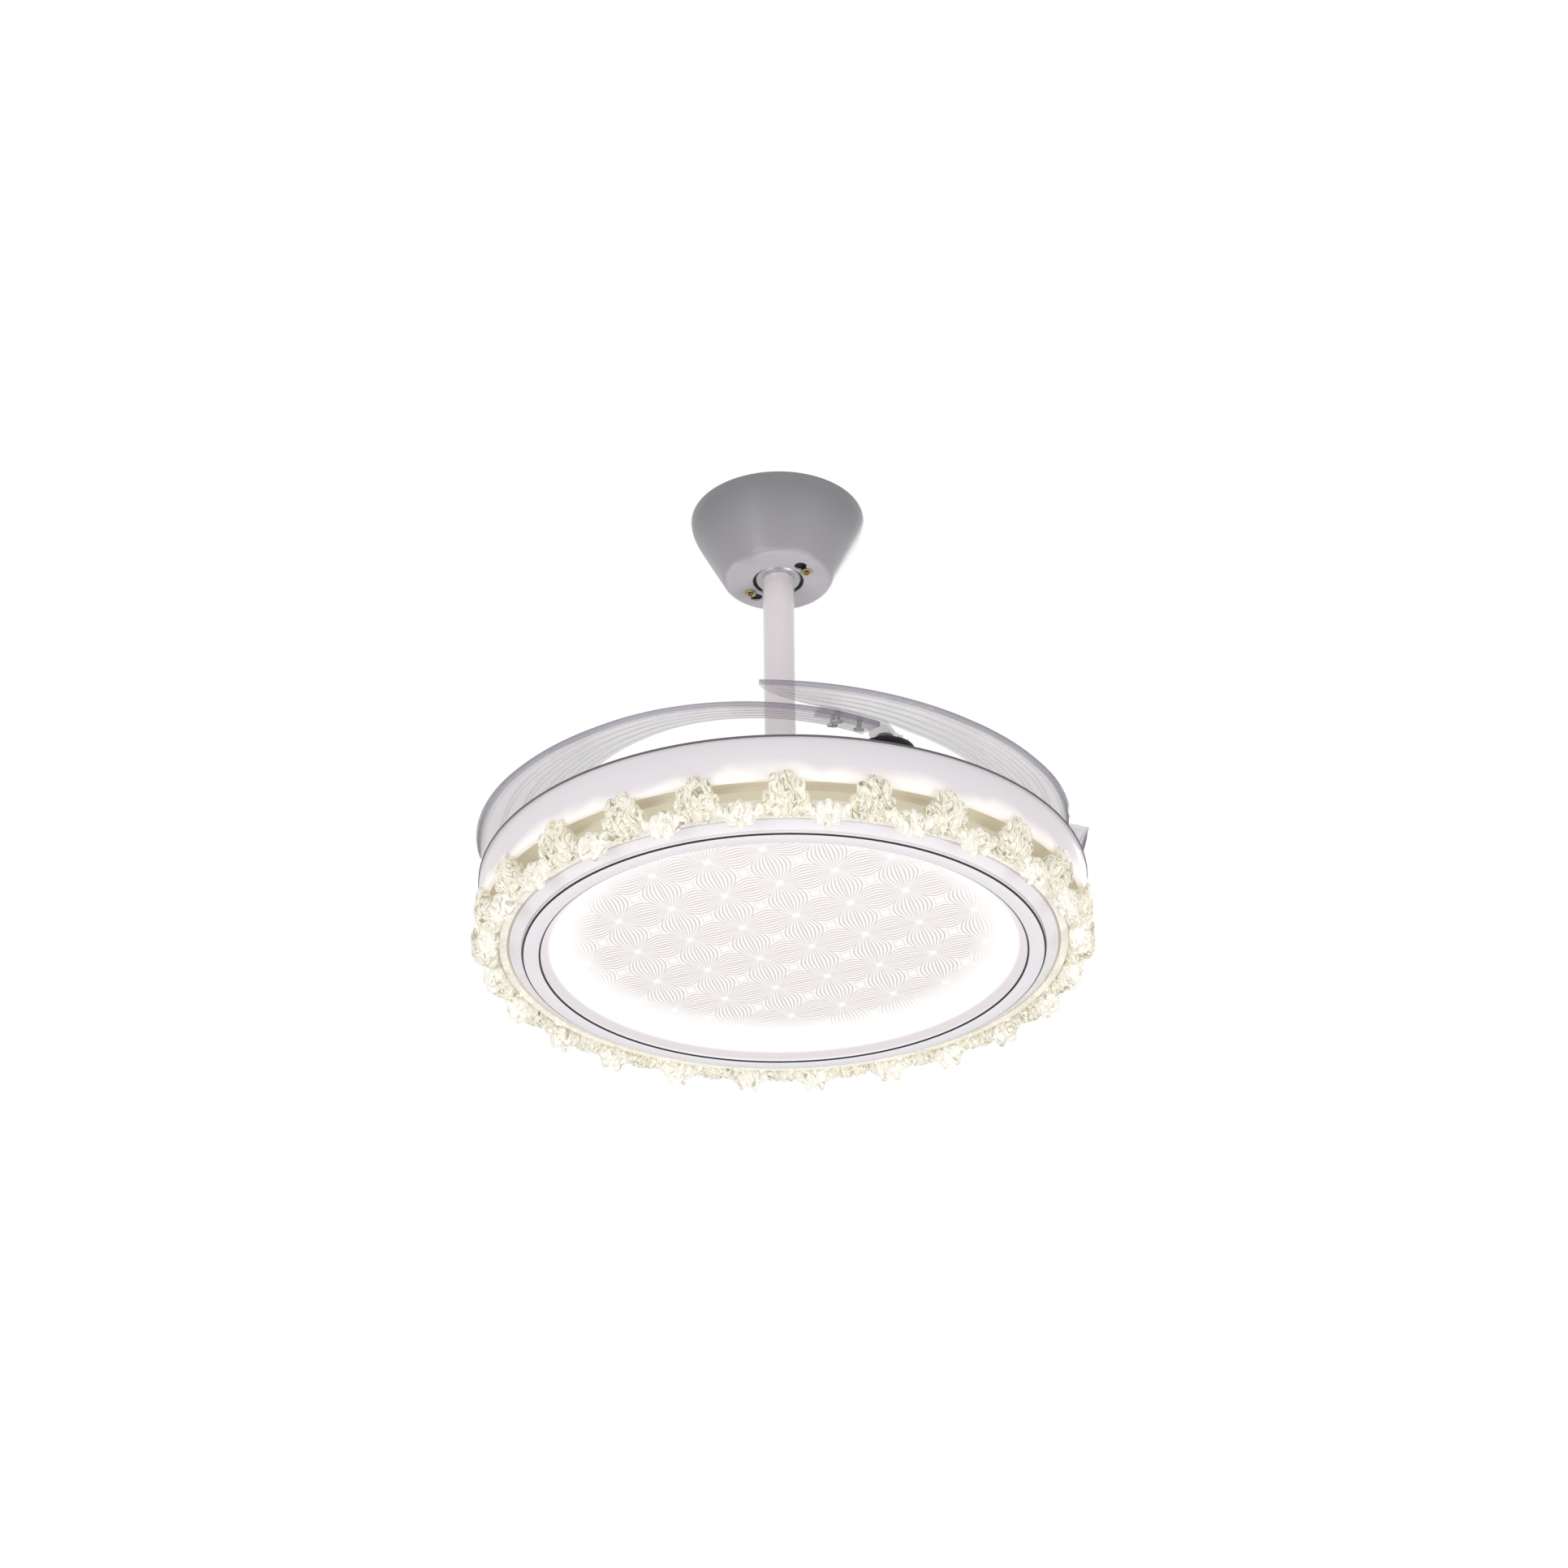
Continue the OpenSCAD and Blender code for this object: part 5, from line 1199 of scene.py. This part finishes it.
class FAN_OT_stage(bpy.types.Operator):
    """Lays the floor and sets the soft lamps, the world and the camera"""
    bl_idname = "fan.stage"
    bl_label = "Stage"

    def execute(self, context):
        stage = context.scene.fan_stage
        clear_selection()
        bpy.ops.mesh.primitive_circle_add(vertices=96, radius=FLOOR_R, fill_type="NGON",
                                          location=(0, 0, -stage.floor_drop))
        floor = settle(name_it("studio_floor"))
        paint, place = start("Painted studio floor")
        floor.data.materials.append(surface(paint, {
            "Base Color": mottle(paint, place, 900, stage.floor_shade, stage.floor_colour),
            "Roughness": 0.85}))

        # the camera, gloss and glass see white all round, and the object gets the ambient light
        world = bpy.data.worlds.new("Studio")
        context.scene.world = world
        world.use_nodes = True
        world.node_tree.nodes.clear()
        rays = add(world, "LightPath").outputs
        seen = rays["Is Camera Ray"]
        for ray in ("Is Glossy Ray", "Is Transmission Ray"):
            seen = add(world, "Math", {0: seen, 1: rays[ray]}, operation="MAXIMUM")
        ambient = add(world, "Background", {"Color": "#fbf9fd", "Strength": stage.ambient})
        plain = add(world, "Background", {"Color": "#ffffff", "Strength": 1.0})
        add(world, "OutputWorld", {"Surface": add(world, "MixShader", {0: seen, 1: ambient, 2: plain})})

        for name, spot, size, watts in LAMPS:
            area_lamp(name, spot, Vector((0, 0, FOOT / 2)), size, watts)

        camera = bpy.data.cameras.new("Photo camera")
        camera.sensor_width = SENSOR
        camera.lens = SENSOR * FOCAL_PIXELS / PHOTO_PIXELS
        holder = bpy.data.objects.new("Photo camera", camera)
        turn = (Matrix.Rotation(CAMERA_YAW, 4, "Z") @ Matrix.Rotation(math.pi / 2 + CAMERA_PITCH, 4, "X")
                @ Matrix.Rotation(CAMERA_ROLL, 4, "Z"))
        holder.matrix_world = Matrix.Translation(CAMERA_PLACE) @ turn
        context.scene.collection.objects.link(holder)
        context.scene.camera = holder
        context.scene.view_settings.view_transform = "Standard"
        return {"FINISHED"}


# ---------------------------------------------------------------- add-on

OPERATORS = [FAN_OT_stage, FAN_OT_canopy, FAN_OT_downrod, FAN_OT_motor, FAN_OT_blades, FAN_OT_drum,
             FAN_OT_crystals, FAN_OT_panel]
SETTINGS = {"fan_canopy": CanopySizes, "fan_blades": BladeSizes, "fan_drum": DrumSizes,
            "fan_crystals": CrystalSizes, "fan_panel": PanelSizes, "fan_stage": StageSettings}


class FAN_PT_sidebar(bpy.types.Panel):
    """Lists the pieces of the fan and their sizes"""
    bl_label = "Ceiling Fan"
    bl_idname = "FAN_PT_sidebar"
    bl_space_type = "VIEW_3D"
    bl_region_type = "UI"
    bl_category = "Ceiling Fan"

    def draw(self, context):
        for operator in OPERATORS:
            self.layout.operator(operator.bl_idname)
        for name, group in SETTINGS.items():
            box = self.layout.box()
            for field in group.__annotations__:
                box.prop(getattr(context.scene, name), field)


CLASSES = [*SETTINGS.values(), *OPERATORS, FAN_PT_sidebar]


def register():
    for cls in CLASSES:
        bpy.utils.register_class(cls)
    for name, group in SETTINGS.items():
        setattr(bpy.types.Scene, name, PointerProperty(type=group))


def unregister():
    for name in SETTINGS:
        delattr(bpy.types.Scene, name)
    for cls in reversed(CLASSES):
        bpy.utils.unregister_class(cls)


def main():
    register()
    for operator in OPERATORS:
        group, name = operator.bl_idname.split(".")
        getattr(getattr(bpy.ops, group), name)()


if __name__ == "__main__":
    main()
